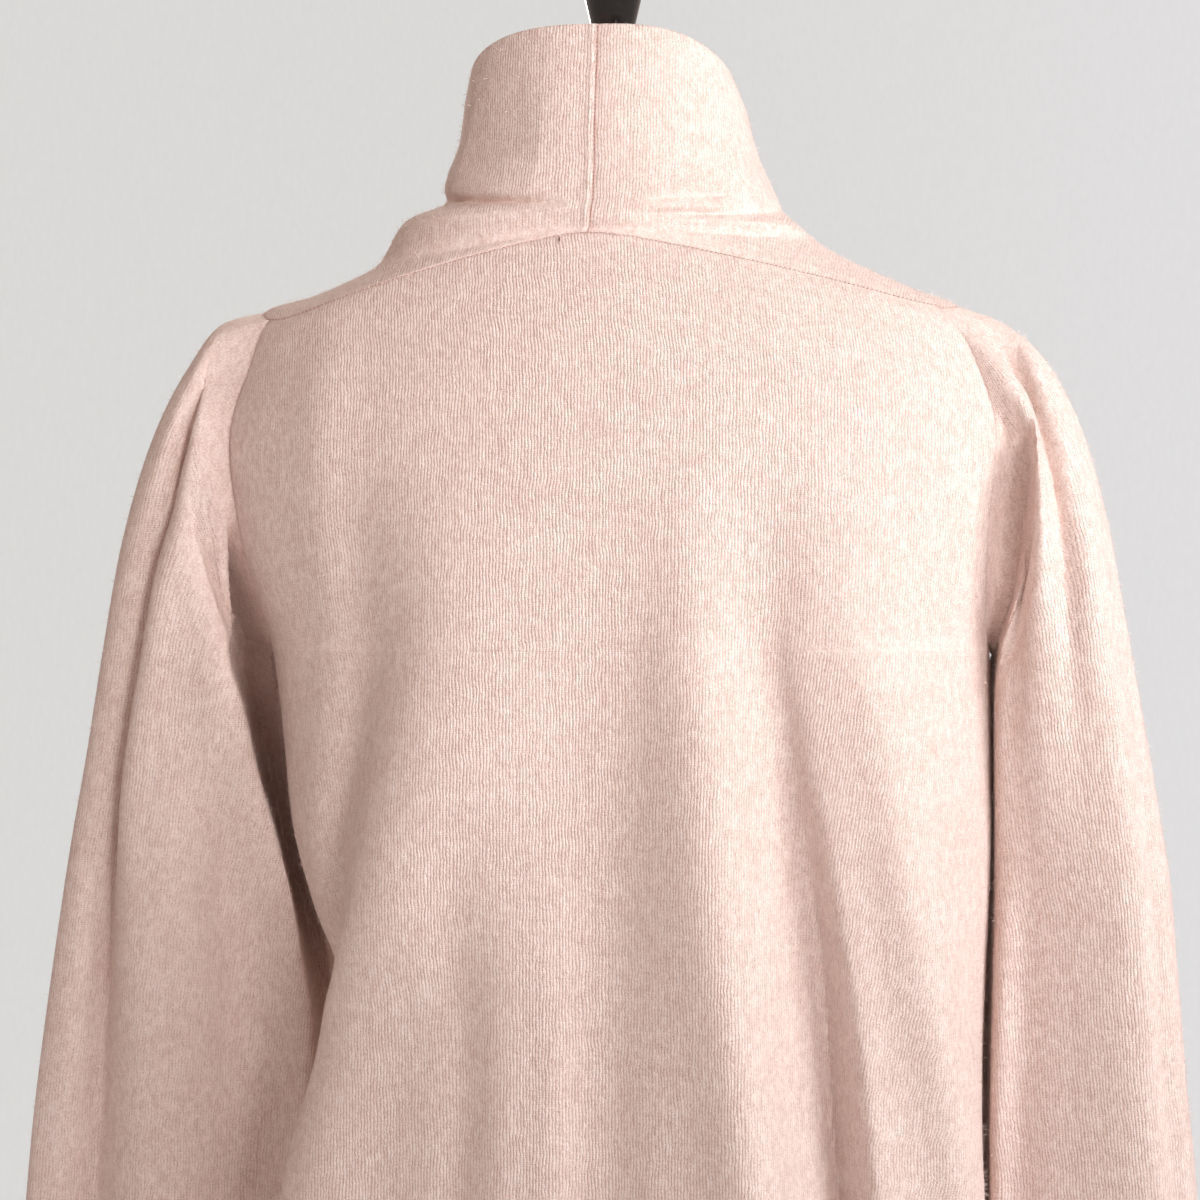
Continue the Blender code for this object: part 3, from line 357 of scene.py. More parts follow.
def fold_depth(folds: dict[str, Fold], knots: Sequence[float], turn: np.ndarray,
               at: np.ndarray) -> np.ndarray:
    """How far the folds of a table move points out.

    Args:
        folds: The folds, by name.
        knots: The heights or levels that they are given at.
        turn: Turns of the points.
        at: Heights or levels of the points.

    Returns:
        Distances out, in metres.
    """
    depth = np.zeros(np.broadcast(turn, at).shape)
    for fold in folds.values():
        offset = turn_from(turn, curve(knots, fold.turns, at))
        reach = np.where(offset < 0, fold.below, fold.above)
        depth += curve(knots, fold.out, at) * np.exp(-np.abs(offset / reach) ** fold.sharpness)
    return depth / 1000


def crease_depth(creases: dict[str, Crease], turn: np.ndarray, level: np.ndarray) -> np.ndarray:
    """How far creases that run across the wales move points out.

    Args:
        creases: The creases, by name.
        turn: Turns of the points.
        level: Levels of the points.

    Returns:
        Distances out, in metres.
    """
    depth = np.zeros(np.broadcast(turn, level).shape)
    for crease in creases.values():
        middle = (crease.start + crease.end) / 2
        share = (middle + turn_from(turn, middle) - crease.start) / (crease.end - crease.start)
        inside = np.clip(share, 0, 1)
        line = crease.start_level + (crease.end_level - crease.start_level) * inside
        taper = np.sin(np.pi * inside) ** CREASE_TAPER
        depth += crease.out * taper * np.exp(-(((level - line) / crease.reach) ** 2))
    return depth / 1000


class Side(Enum):
    """A side of the wearer."""

    LEFT = ("left", 1, 23.0, 20.0)
    RIGHT = ("right", -1, 25.5, 24.0)

    def __init__(self, word: str, sign: int, arm_turn: float, tip_turn: float) -> None:
        """Names the side's values.

        Args:
            word: The side's name.
            sign: The sign of X on this side.
            arm_turn: Turns from the side to the armhole's edge at its widest.
            tip_turn: Turns from the side to the armhole's edge at the shoulder tip.
        """
        self.word, self.sign, self.arm_turn, self.tip_turn = word, sign, arm_turn, tip_turn


@dataclass(frozen=True)
class SleeveTable:
    """The measured form of one sleeve."""

    rings: tuple[tuple[float, ...], ...]
    folds: dict[str, Fold]
    edge: BackEdge


SLEEVES = {
    Side.LEFT: SleeveTable(LEFT_RINGS, LEFT_SLEEVE_FOLDS, LEFT_EDGE),
    Side.RIGHT: SleeveTable(RIGHT_RINGS, RIGHT_SLEEVE_FOLDS, RIGHT_EDGE),
}


class Slot(Enum):
    """The record's material slots. The new pieces don't take them."""

    KNIT = "blush_knit"
    LACQUER = "black_lacquer"


def new_object(name: str, data: bpy.types.ID) -> bpy.types.Object:
    """A new object in the scene, at the origin."""
    made = bpy.data.objects.new(name, data)
    bpy.context.scene.collection.objects.link(made)
    return made


def mesh_object(name: str, points: np.ndarray, faces: Iterable, sharp: float = 60) -> bpy.types.Object:
    """A mesh object from points and faces, smooth but for edges sharper than so many degrees."""
    mesh = bpy.data.meshes.new(name)
    mesh.from_pydata(np.asarray(points).tolist(), [], [list(map(int, face)) for face in faces])
    mesh.shade_smooth()
    mesh.set_sharp_from_angle(angle=np.radians(sharp))
    return new_object(name, mesh)


def enter(made: bpy.types.Object, node: str | None = None) -> bpy.types.Object:
    """Hangs a finished piece under the root, hides the solid that it replaces and logs its faces.

    Args:
        made: The piece, with its material.
        node: The solid that it replaces, if any.

    Returns:
        The piece.
    """
    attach(made, "root")
    if node:
        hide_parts(node)
    log.info("%s: %d faces", made.name, len(made.data.polygons))
    return made


@dataclass(frozen=True)
class TrunkSurface:
    """The outer face of the trunk and the collar, from its tables."""

    ridge_reach: float = 0.045
    right_ridge_share: float = 0.5
    peak_round: float = 0.012
    arm_widest: float = 0.7
    underarm: int = list(LOOPS).index("underarm")
    seam: int = list(LOOPS).index("seam")
    foot: int = list(LOOPS).index("foot")
    rim: int = list(LOOPS).index("rim")

    def base(self, turn: np.ndarray, level: np.ndarray) -> tuple[np.ndarray, np.ndarray]:
        """Points on the loops before they are folded.

        Args:
            turn: Turns of the points.
            level: Levels of the points.

        Returns:
            The points, and the level way out from each.
        """
        turn, level = np.broadcast_arrays(np.asarray(turn, float), np.asarray(level, float))
        columns = zip(LOOP_COLUMNS, LOOP_TABLE.T)
        row = {name: curve(range(len(LOOPS)), column, level) for name, column in columns}
        across = np.cos(np.radians(turn))
        along = np.sin(np.radians(turn))
        power = 2 / row["corner"]
        on_left = across >= 0
        half = np.where(on_left, row["left"], row["right"])
        side_z = np.where(on_left, row["left_z"], row["right_z"])
        ridge = np.where(on_left, row["ridge"], row["ridge"] * self.right_ridge_share)
        depth = np.where(along >= 0, row["back"] - row["mid"], row["mid"] - row["front"])
        centre_z = np.where(along >= 0, row["back_z"], row["front_z"])
        share = np.sign(across) * np.abs(across) ** power
        x = half * share + row["lean"] * (1 - share**2)
        off = depth * np.sign(along) * np.abs(along) ** power
        peak = self.peak_round
        run = (np.hypot(half * share, peak) - peak) / (np.hypot(half, peak) - peak)
        climb = (1 - np.clip(run, 0, 1) ** row["pitch"]) ** (1 / row["pitch"])
        arch = np.clip(1 - (off / self.ridge_reach) ** 2, 0, 1) ** 2
        z = side_z - ridge + (centre_z - side_z + ridge) * climb + ridge * arch
        out_x = np.sign(across) * np.abs(across) ** (2 - power) / half
        out_y = np.sign(along) * np.abs(along) ** (2 - power) / depth
        out = unit(np.stack([out_x, out_y, np.zeros_like(out_x)], axis=-1))
        return np.stack([x, row["mid"] + off, z], axis=-1), out

    def points(self, turn: np.ndarray, level: np.ndarray) -> np.ndarray:
        """Points on the outer face, folds and creases included."""
        turn, level = np.broadcast_arrays(np.asarray(turn, float), np.asarray(level, float))
        base, out = self.base(turn, level)
        fade = curve(FOLDS_FADE, (1, 0), level)
        depth = fold_depth(TRUNK_FOLDS, FOLD_HEIGHTS, turn, base[..., 2]) * fade
        return base + out * (depth + crease_depth(COLLAR_CREASES, turn, level))[..., None]

    def normals(self, turn: np.ndarray, level: np.ndarray) -> np.ndarray:
        """Unit normals of the outer face, pointing out."""
        turn_step, level_step = 0.4, 0.02
        low = np.clip(level - level_step, 0, self.rim)
        high = np.clip(level + level_step, 0, self.rim)
        round_it = self.points(turn + turn_step, level) - self.points(turn - turn_step, level)
        up_it = self.points(turn, high) - self.points(turn, low)
        return unit(np.cross(round_it, up_it))

    def arm_turn(self, side: Side, level: float) -> float:
        """How far round from the side that armhole's edge lies at this level."""
        share = np.clip((level - self.underarm) / (self.seam - self.underarm), 0, 1)
        widest = np.minimum(share / self.arm_widest, 1)
        opening = np.sqrt(np.clip(1 - (1 - widest) ** 2, 0, 1))
        closing = np.clip((share - self.arm_widest) / (1 - self.arm_widest), 0, 1) ** 2
        return side.arm_turn * opening - (side.arm_turn - side.tip_turn) * closing

    def row_turns(self, level: float, sign: int, count: int) -> np.ndarray:
        """Turns of a panel's columns at one level, evenly apart, the centre line in the middle.

        Args:
            level: The row's level.
            sign: 1 for the back, -1 for the front.
            count: How many columns of faces.

        Returns:
            One turn for each column of points, from the left side to the right.
        """
        fine = np.linspace(0, 180, 721)
        points, _ = self.base(sign * fine, level)
        length = np.concatenate([[0], np.cumsum(np.linalg.norm(np.diff(points, axis=0), axis=1))])
        edges = self.arm_turn(Side.LEFT, level), 90, 180 - self.arm_turn(Side.RIGHT, level)
        left, centre, right = np.interp(edges, fine, length)
        spread = curve((0, count / 2, count), (left, centre, right), np.arange(count + 1))
        return sign * np.interp(spread, length, fine)

    def panel_levels(self) -> np.ndarray:
        """Levels of the rows of the back and the front, closer together by the underarm."""
        low = np.linspace(0, self.underarm, LOW_ROWS)[:-1]
        share = (np.arange(ARM_ROWS + 1) / ARM_ROWS) ** 2
        return np.concatenate([low, self.underarm + (self.seam - self.underarm) * share])


@dataclass
class Patch:
    """A grid of points on a piece's outer face, with all that the wall and its finish need there."""

    points: np.ndarray
    normals: np.ndarray
    thick: np.ndarray
    knit: np.ndarray
    seam: np.ndarray
    rib: np.ndarray

    @classmethod
    def of(cls, points: np.ndarray, normals: np.ndarray, wall: float) -> "Patch":
        """A patch of even thickness with no seams and no knit coordinates yet."""
        shape = points.shape[:2]
        far = np.full(shape, 1.0)
        return cls(points, normals, np.full(shape, wall), np.zeros((*shape, 2)), far, far.copy())

    def part(self, rows: slice | list[int]) -> "Patch":
        """The patch of some of its rows."""
        return Patch(*(getattr(self, name)[rows] for name in self.__dataclass_fields__))

    def sunk_at_seams(self, deep: float, reach: float) -> "Patch":
        """Lets the outer face dip towards its seams by up to deep, within reach of them."""
        dip = deep * np.exp(-((self.seam / reach) ** 2))
        self.points = self.points - self.normals * dip[..., None]
        return self

    def clearness(self, tolerance: float = 0.7) -> np.ndarray:
        """How true the knit coordinates are to the cloth's own lengths: 1 is true, 0 is torn."""
        row, column = np.gradient(self.points, axis=0), np.gradient(self.points, axis=1)
        real = np.linalg.norm(np.cross(row, column), axis=2)
        by_row, by_column = np.gradient(self.knit, axis=0), np.gradient(self.knit, axis=1)
        drawn = np.abs(by_row[..., 0] * by_column[..., 1] - by_row[..., 1] * by_column[..., 0])
        off = np.log(np.maximum(drawn, 1e-12) / np.maximum(real, 1e-12))
        return np.exp(-((off / tolerance) ** 2))


def turned_edge(patch: Patch, row: int, away: np.ndarray, steps: int = 4) -> tuple[Patch, np.ndarray]:
    """Rows that round a patch's edge over to the inner face.

    Args:
        patch: The patch.
        row: Its edge row, 0 or -1.
        away: Unit vectors that point off the cloth at each point of that row.
        steps: How many rows are added.

    Returns:
        A patch of the added outer rows, from the edge row out, and their inner points.
    """
    half = patch.thick[row] / 2
    middle = patch.points[row] - patch.normals[row] * half[:, None]
    outer, inner = [], []
    for k in range(1, steps + 1):
        angle = np.radians(84) * k / steps
        side = patch.normals[row] * (half * np.cos(angle))[:, None]
        over = away * (half * np.sin(angle))[:, None]
        outer.append(middle + side + over)
        inner.append(middle - side + over)
    edge = patch.part([row] * steps)
    edge.points = np.array(outer)
    return edge, np.array(inner)


@dataclass
class Wall:
    """A wall of cloth: patches of an outer face, the inner face behind them, and the cut edges."""

    name: str
    outer: list[np.ndarray] = field(default_factory=list)
    inner: list[np.ndarray] = field(default_factory=list)
    knit: list[np.ndarray] = field(default_factory=list)
    marks: list[np.ndarray] = field(default_factory=list)
    faces: list[np.ndarray] = field(default_factory=list)
    corners: list[np.ndarray] = field(default_factory=list)
    count: int = 0

    def take(self, patch: Patch, inner: np.ndarray | None = None) -> np.ndarray:
        """Adds a patch's points.

        Args:
            patch: The patch.
            inner: Its inner points, or None to set them in by its thickness.

        Returns:
            The numbers of its points, rows by columns.
        """
        if inner is None:
            inner = patch.points - patch.normals * patch.thick[..., None]
        shape = patch.points.shape[:2]
        self.outer.append(patch.points.reshape(-1, 3))
        self.inner.append(inner.reshape(-1, 3))
        self.knit.append(patch.knit.reshape(-1, 2))
        clear = patch.clearness() if shape[0] > 8 else np.ones(shape)
        self.marks.append(np.stack([patch.seam, patch.rib, clear], axis=-1).reshape(-1, 3))
        numbers = self.count + np.arange(shape[0] * shape[1]).reshape(shape)
        self.count += numbers.size
        return numbers

    def cover(self, numbers: np.ndarray, turned: bool, corners: np.ndarray | None = None) -> None:
        """Adds faces over a grid of point numbers.

        Args:
            numbers: Point numbers, rows by columns.
            turned: True where the grid runs the other way, so that the faces still point out.
            corners: The points that each corner takes its knit coordinates from, if others.
        """
        corners = numbers if corners is None else corners
        for grid, into in ((numbers, self.faces), (corners, self.corners)):
            quads = np.stack([grid[:-1, :-1], grid[:-1, 1:], grid[1:, 1:], grid[1:, :-1]], axis=-1)
            quads = quads.reshape(-1, 4)
            into.append(quads[:, ::-1] if turned else quads)

    def skin(self) -> bpy.types.Object:
        """The outer face alone, for what grows on it."""
        return mesh_object(f"{self.name}_skin", np.concatenate(self.outer), np.concatenate(self.faces))

    def close(self, finish: bpy.types.Material) -> bpy.types.Object:
        """Makes the whole wall.

        Args:
            finish: The cloth's material.

        Returns:
            The finished mesh object, with its knit coordinates and marks.
        """
        faces, corners = np.concatenate(self.faces), np.concatenate(self.corners)
        edges = np.concatenate([faces[:, [k, (k + 1) % 4]] for k in range(4)])
        key = edges[:, 0] * self.count + edges[:, 1]
        free = edges[~np.isin(key, edges[:, 1] * self.count + edges[:, 0])]
        rims = np.hstack([free[:, ::-1], free + self.count])
        every = np.concatenate([faces, faces[:, ::-1] + self.count, rims])
        made = mesh_object(self.name, np.concatenate(self.outer + self.inner), every)
        knit = np.concatenate(self.knit)
        by_corner = np.concatenate([knit[corners], knit[corners[:, ::-1]], knit[rims % self.count]])
        layer = made.data.uv_layers.new(name="knit")
        layer.data.foreach_set("uv", by_corner.astype(np.float32).ravel())
        marks = np.tile(np.concatenate(self.marks), (2, 1))
        for k, name in enumerate(("seam", "rib", "clear")):
            mark = made.data.attributes.new(name, "FLOAT", "POINT")
            mark.data.foreach_set("value", marks[:, k].astype(np.float32))
        made.data.materials.append(finish)
        return made


@dataclass
class Sheet:
    """One cut piece of cloth: the solid that it stands for and the size that it was cut to."""

    name: str
    node: str
    flat: tuple[float, float]
    area: float
    surface: TrunkSurface = field(default_factory=TrunkSurface)
    wall: float = 0.002
    seam_dip: float = 0.0004
    seam_reach: float = 0.0026

    def settle(self, made: bpy.types.Object, rests_on: Sequence[str], extras: Sequence) -> None:
        """Hangs the made sheet under the root and hides the solid that it stands for."""
        enter(made, self.node)

    def hemmed(self, wall: Wall, patch: Patch, turned: bool) -> np.ndarray:
        """Adds a patch with its lowest row rounded over, and returns the patch's own numbers."""
        edge, inner = turned_edge(patch, 0, unit(patch.points[0] - patch.points[1]))
        numbers = wall.take(patch)
        edge_numbers = wall.take(edge, inner)
        wall.cover(np.vstack([edge_numbers[::-1], numbers]), turned)
        return numbers

    def trunk_face(self, sign: int, columns: int) -> Patch:
        """A trunk panel's outer face, from the hem to the shoulder seam, seamed at its sides.

        Args:
            sign: 1 for the back, -1 for the front.
            columns: How many columns of faces it has.

        Returns:
            The face, with its knit coordinates.
        """
        levels = self.surface.panel_levels()
        turns = np.array([self.surface.row_turns(level, sign, columns) for level in levels])
        level = np.repeat(levels[:, None], columns + 1, axis=1)
        points = self.surface.points(turns, level)
        made = Patch.of(points, self.surface.normals(turns, level), self.wall)
        across, up = run_along(points, 1), run_along(points, 0)
        made.knit = np.stack([across - across[:, [columns // 2]], up], axis=-1)
        made.seam = np.minimum(across, across[:, -1:] - across)
        return made


@dataclass
class BackPanel(Sheet):
    """The back, from the hem to the shoulder seam."""

    def patch(self) -> Patch:
        """The back's outer face, seamed at the shoulders too."""
        made = self.trunk_face(1, BACK_COLUMNS)
        up = made.knit[..., 1]
        made.seam = np.minimum(made.seam, up[-1] - up)
        return made.sunk_at_seams(self.seam_dip, self.seam_reach)

    def build(self) -> tuple[Wall, Patch]:
        """The back's wall, and its patch for the pieces that join it."""
        wall, patch = Wall(self.name), self.patch()
        self.hemmed(wall, patch, False)
        return wall, patch


@dataclass
class FrontPanel(Sheet):
    """The front, in one piece with the collar that wraps round to the centre-back seam."""

    collar_wall: float = 0.0034
    rim_wall: float = 0.0046
    rim_reach: float = 0.9
    rib_high: float = 0.0006
    rib_off: float = 0.0030
    rib_reach: float = 0.0019
    shoulder_top: float = 0.55
    shoulder_slope: float = 1.04
    front_turns: tuple[float, float] = (-25.0, -155.0)
    row_spread: tuple[float, ...] = (0, 0.11, 0.74, 1)
    above_foot: float = 2.4

    def body(self) -> Patch:
        """The front's outer face under the shoulder seam."""
        return self.trunk_face(-1, FRONT_COLUMNS).sunk_at_seams(self.seam_dip, self.seam_reach)

    def ring(self) -> np.ndarray:
        """Turns round the collar's foot, from the centre-back seam by the left and the front."""
        seam = self.surface.seam
        back = self.surface.row_turns(seam, 1, BACK_COLUMNS)
        front = self.surface.row_turns(seam, -1, FRONT_COLUMNS)
        left, right = Side.LEFT.tip_turn, Side.RIGHT.tip_turn
        middle = BACK_COLUMNS // 2
        return np.concatenate([
            back[middle:0:-1], np.linspace(left, -left, TIP_COLUMNS + 1), front[1:-1],
            np.linspace(right - 180, -right - 180, TIP_COLUMNS + 1), back[-2:middle - 1:-1] - 360,
        ])

    def collar(self) -> Patch:
        """The outer face of the shoulders and the collar."""
        surface, ring = self.surface, self.ring()
        spread = (surface.seam, surface.seam + 1, surface.foot + self.above_foot, surface.rim)
        levels = curve(self.row_spread, spread, np.linspace(0, 1, COLLAR_ROWS))
        level = np.repeat(levels[:, None], len(ring), axis=1)
        turn = np.repeat(ring[None, :], COLLAR_ROWS, axis=0)
        points, normals = surface.points(turn, level), surface.normals(turn, level)
        made = Patch.of(points, normals, self.wall)
        made.thick = curve((surface.seam, surface.foot, surface.rim - self.rim_reach, surface.rim),
                           (self.wall, self.collar_wall, self.collar_wall, self.rim_wall), level)
        gone, up = run_along(points, 1), run_along(points, 0)
        start = BACK_COLUMNS // 2 + TIP_COLUMNS
        across = gone - gone[:, [start + FRONT_COLUMNS // 2]]
        left_back, right_back = turn > self.front_turns[0], turn < self.front_turns[1]
        across = np.where(left_back, -gone, np.where(right_back, gone[:, -1:] - gone, across))
        wrapped = np.stack([across, up], axis=-1)
        on_top = np.stack([-self.shoulder_slope * points[..., 0], -points[..., 1]], axis=-1)
        made.knit = np.where((normals[..., 2] > self.shoulder_top)[..., None], on_top, wrapped)
        made.rib = np.minimum(gone, gone[:, -1:] - gone)
        rise = self.rib_high * np.exp(-(((gone - self.rib_off) / self.rib_reach) ** 2))
        made.points = made.points + made.normals * rise[..., None]
        sewn = np.ones(len(ring), bool)
        sewn[start + 1:start + FRONT_COLUMNS] = False
        made.seam = np.minimum(np.where(sewn[None, :], up, 1.0), made.rib)
        return made.sunk_at_seams(self.seam_dip, self.seam_reach)

    def build(self) -> tuple[Wall, Patch, Patch]:
        """The front's wall, and its body and collar patches."""
        wall, body, collar = Wall(self.name), self.body(), self.collar()
        collar_numbers = wall.take(collar)
        rim, rim_inner = turned_edge(collar, -1, unit(collar.points[-1] - collar.points[-2]))
        rim_numbers = wall.take(rim, rim_inner)
        wall.cover(np.vstack([collar_numbers, rim_numbers]), True)
        start = BACK_COLUMNS // 2 + TIP_COLUMNS
        seam_row = collar_numbers[0, start:start + FRONT_COLUMNS + 1]
        low = body.part(slice(None, -1))
        body_numbers = self.hemmed(wall, low, True)
        wall.cover(np.vstack([body_numbers[-1], seam_row]), True)
        return wall, low, collar


@dataclass
class Sleeve(Sheet):
    """A set-in sleeve: rings from the armhole down to the plain turned end."""

    side: Side = Side.LEFT
    gap: float = 0.0001
    squareness: float = 2.2
    rise_from: float = 0.6
    fall_from: float = 0.35
    behind_starts: tuple[float, float] = (30, 62)
    behind_ends: tuple[float, float] = (160, 177)

    @property
    def table(self) -> SleeveTable:
        """The sleeve's measured form."""
        return SLEEVES[self.side]

    def armhole(self, back: Patch, front: Patch, collar: Patch) -> tuple[np.ndarray, np.ndarray]:
        """Points and normals round the armhole from its top, by the back, the underarm and the front."""
        left = self.side is Side.LEFT
        column = 0 if left else -1
        start = BACK_COLUMNS // 2 + (0 if left else TIP_COLUMNS + FRONT_COLUMNS)
        tip = slice(start, start + TIP_COLUMNS + 1)
        half = TIP_COLUMNS // 2
        found = []
        for name in ("points", "normals"):
            over = getattr(collar, name)[0, tip]
            over = over if left else over[::-1]
            behind = getattr(back, name)[LOW_ROWS - 1:, column]
            before = getattr(front, name)[LOW_ROWS - 1:, column]
            found.append(np.concatenate([over[half::-1], behind[-2:0:-1], before, over[:half:-1]]))
        return found[0], found[1]

    def rings(self, turn: np.ndarray) -> np.ndarray:
        """The table's rings at these turns, before they are folded."""
        up, out = np.cos(np.radians(turn)), np.sin(np.radians(turn))
        power = 2 / self.squareness
        up_power = np.sign(up) * np.abs(up) ** power
        out_power = np.sign(out) * np.abs(out) ** power
        made = []
        for outer, outer_z, inner, inner_z, mid, deep, swing, belly in np.array(self.table.rings) / 1000:
            x = (outer + inner) / 2 + (outer - inner) / 2 * up_power + belly * out_power**2
            y = mid + deep * out_power + swing * up_power / 2
            z = (outer_z + inner_z) / 2 + (outer_z - inner_z) / 2 * up_power
            made.append(np.stack([self.side.sign * x, y, z], axis=-1))
        return np.array(made)

    def edge_shift(self, points: np.ndarray, turn: np.ndarray, level: np.ndarray) -> np.ndarray:
        """How the crisp edge on the sleeve's back moves its points.

        Args:
            points: The folded sleeve's points.
            turn: The turn of each column.
            level: The level of each row.

        Returns:
            A shift for each point: outside the edge it comes back, inside it sinks in under the edge.
        """
        edge = self.table.edge
        height, middle, raised, sunk = np.array(edge.rows[::-1]).T / 1000
        z = points[..., 2]
        off = self.side.sign * points[..., 0] - curve(height, middle, z)
        outside = soft_step(-edge.softness, edge.softness, off)
        rise = curve(height, raised, z) * outside * np.exp(-((np.maximum(off, 0) / edge.reach) ** 2))
        rise = rise * soft_step(0.0, self.rise_from, level)[:, None]
        fall = curve(height, sunk, z) * (1 - outside) * soft_step(0.0, self.fall_from, level)[:, None]
        behind = soft_step(*self.behind_starts, turn) * (1 - soft_step(*self.behind_ends, turn))
        across = self.side.sign * (fall * edge.under - rise * edge.over)
        return np.stack([across, rise - fall, np.zeros_like(z)], axis=-1) * behind[:, None]

    def outward(self, points: np.ndarray) -> np.ndarray:
        """Unit normals of a closed tube of rings, pointing out."""
        round_it = np.roll(points, -1, axis=1) - np.roll(points, 1, axis=1)
        return unit(np.cross(np.gradient(points, axis=0), round_it)) * self.side.sign

    def patch(self, back: Patch, front: Patch, collar: Patch) -> Patch:
        """The sleeve's outer face, from the underarm seam round to it again."""
        edge, edge_normals = self.armhole(back, front, collar)
        count, underarm = len(edge), TIP_COLUMNS // 2 + ARM_ROWS
        step = np.linalg.norm(np.roll(edge, -1, axis=0) - edge, axis=1)
        gone = np.concatenate([[0], np.cumsum(step)])
        turn = 180 * np.concatenate([
            gone[:underarm + 1] / gone[underarm],
            1 + (gone[underarm + 1:count] - gone[underarm]) / (gone[count] - gone[underarm]),
        ])
        onward = unit(np.roll(edge, -1, axis=0) - edge)
        before = unit(np.cross(edge_normals, np.roll(onward, 1, axis=0)))
        after = unit(np.cross(edge_normals, onward))
        into = (before + after) / (1 + np.sum(before * after, axis=1, keepdims=True))
        into *= np.sign(np.sum(into * (edge.mean(axis=0) - edge), axis=1))[:, None]
        rings = np.concatenate([(edge + self.gap * into)[None], self.rings(turn)])
        level = np.linspace(0, len(rings) - 1, SLEEVE_ROWS)
        points = curve(range(len(rings)), rings, level)
        depth = fold_depth(self.table.folds, SLEEVE_FOLD_LEVELS, turn[None, :], level[:, None])
        points = points + self.outward(points) * depth[..., None]
        points = points + self.edge_shift(points, turn, level)
        normals = self.outward(points)
        like_body = np.clip(np.sum(normals[0] * edge_normals, axis=1, keepdims=True) * 4, 0, 1)
        normals[0] = unit(normals[0] * (1 - like_body) + edge_normals * like_body)
        points, normals = (np.roll(a, -underarm, axis=1) for a in (points, normals))
        points, normals = (np.concatenate([a, a[:, :1]], axis=1) for a in (points, normals))
        made = Patch.of(points, normals, self.wall)
        round_it, down = run_along(points, 1), run_along(points, 0)
        axis = unit(rings[-1].mean(axis=0) - rings[2].mean(axis=0))
        along = points @ axis
        around = run_along(points - along[..., None] * axis, 1)
        top = count - underarm
        made.knit = np.stack([around - around[:, [top]], -along], axis=-1)
        made.seam = np.minimum(np.minimum(round_it, round_it[:, -1:] - round_it), down)
        return made.sunk_at_seams(self.seam_dip, self.seam_reach)

    def build(self, back: Patch, front: Patch, collar: Patch) -> tuple[Wall, Patch]:
        """The sleeve's wall and its patch."""
        wall, patch = Wall(self.name), self.patch(back, front, collar)
        edge, inner = turned_edge(patch, -1, unit(patch.points[-1] - patch.points[-2]))
        corners = np.vstack([wall.take(patch), wall.take(edge, inner)])
        numbers = corners.copy()
        numbers[:, -1] = numbers[:, 0]
        wall.cover(numbers, self.side is Side.LEFT, corners)
        return wall, patch


@dataclass(frozen=True)
class Signal:
    """What comes out of a node. A sum with it adds a node to its board."""

    board: "Board"
    socket: bpy.types.NodeSocket

    def __add__(self, other: "Value") -> "Signal":
        """The sum."""
        return self.board.maths("ADD", self, other)

    def __sub__(self, other: "Value") -> "Signal":
        """The difference."""
        return self.board.maths("SUBTRACT", self, other)

    def __rsub__(self, other: float) -> "Signal":
        """What it leaves of a number."""
        return self.board.maths("SUBTRACT", other, self)

    def __mul__(self, other: "Value") -> "Signal":
        """The product."""
        return self.board.maths("MULTIPLY", self, other)

    def __truediv__(self, other: "Value") -> "Signal":
        """The quotient."""
        return self.board.maths("DIVIDE", self, other)

    def __abs__(self) -> "Signal":
        """The size without its sign."""
        return self.board.maths("ABSOLUTE", self)


Value = Signal | float | tuple | str | bool | bpy.types.ID


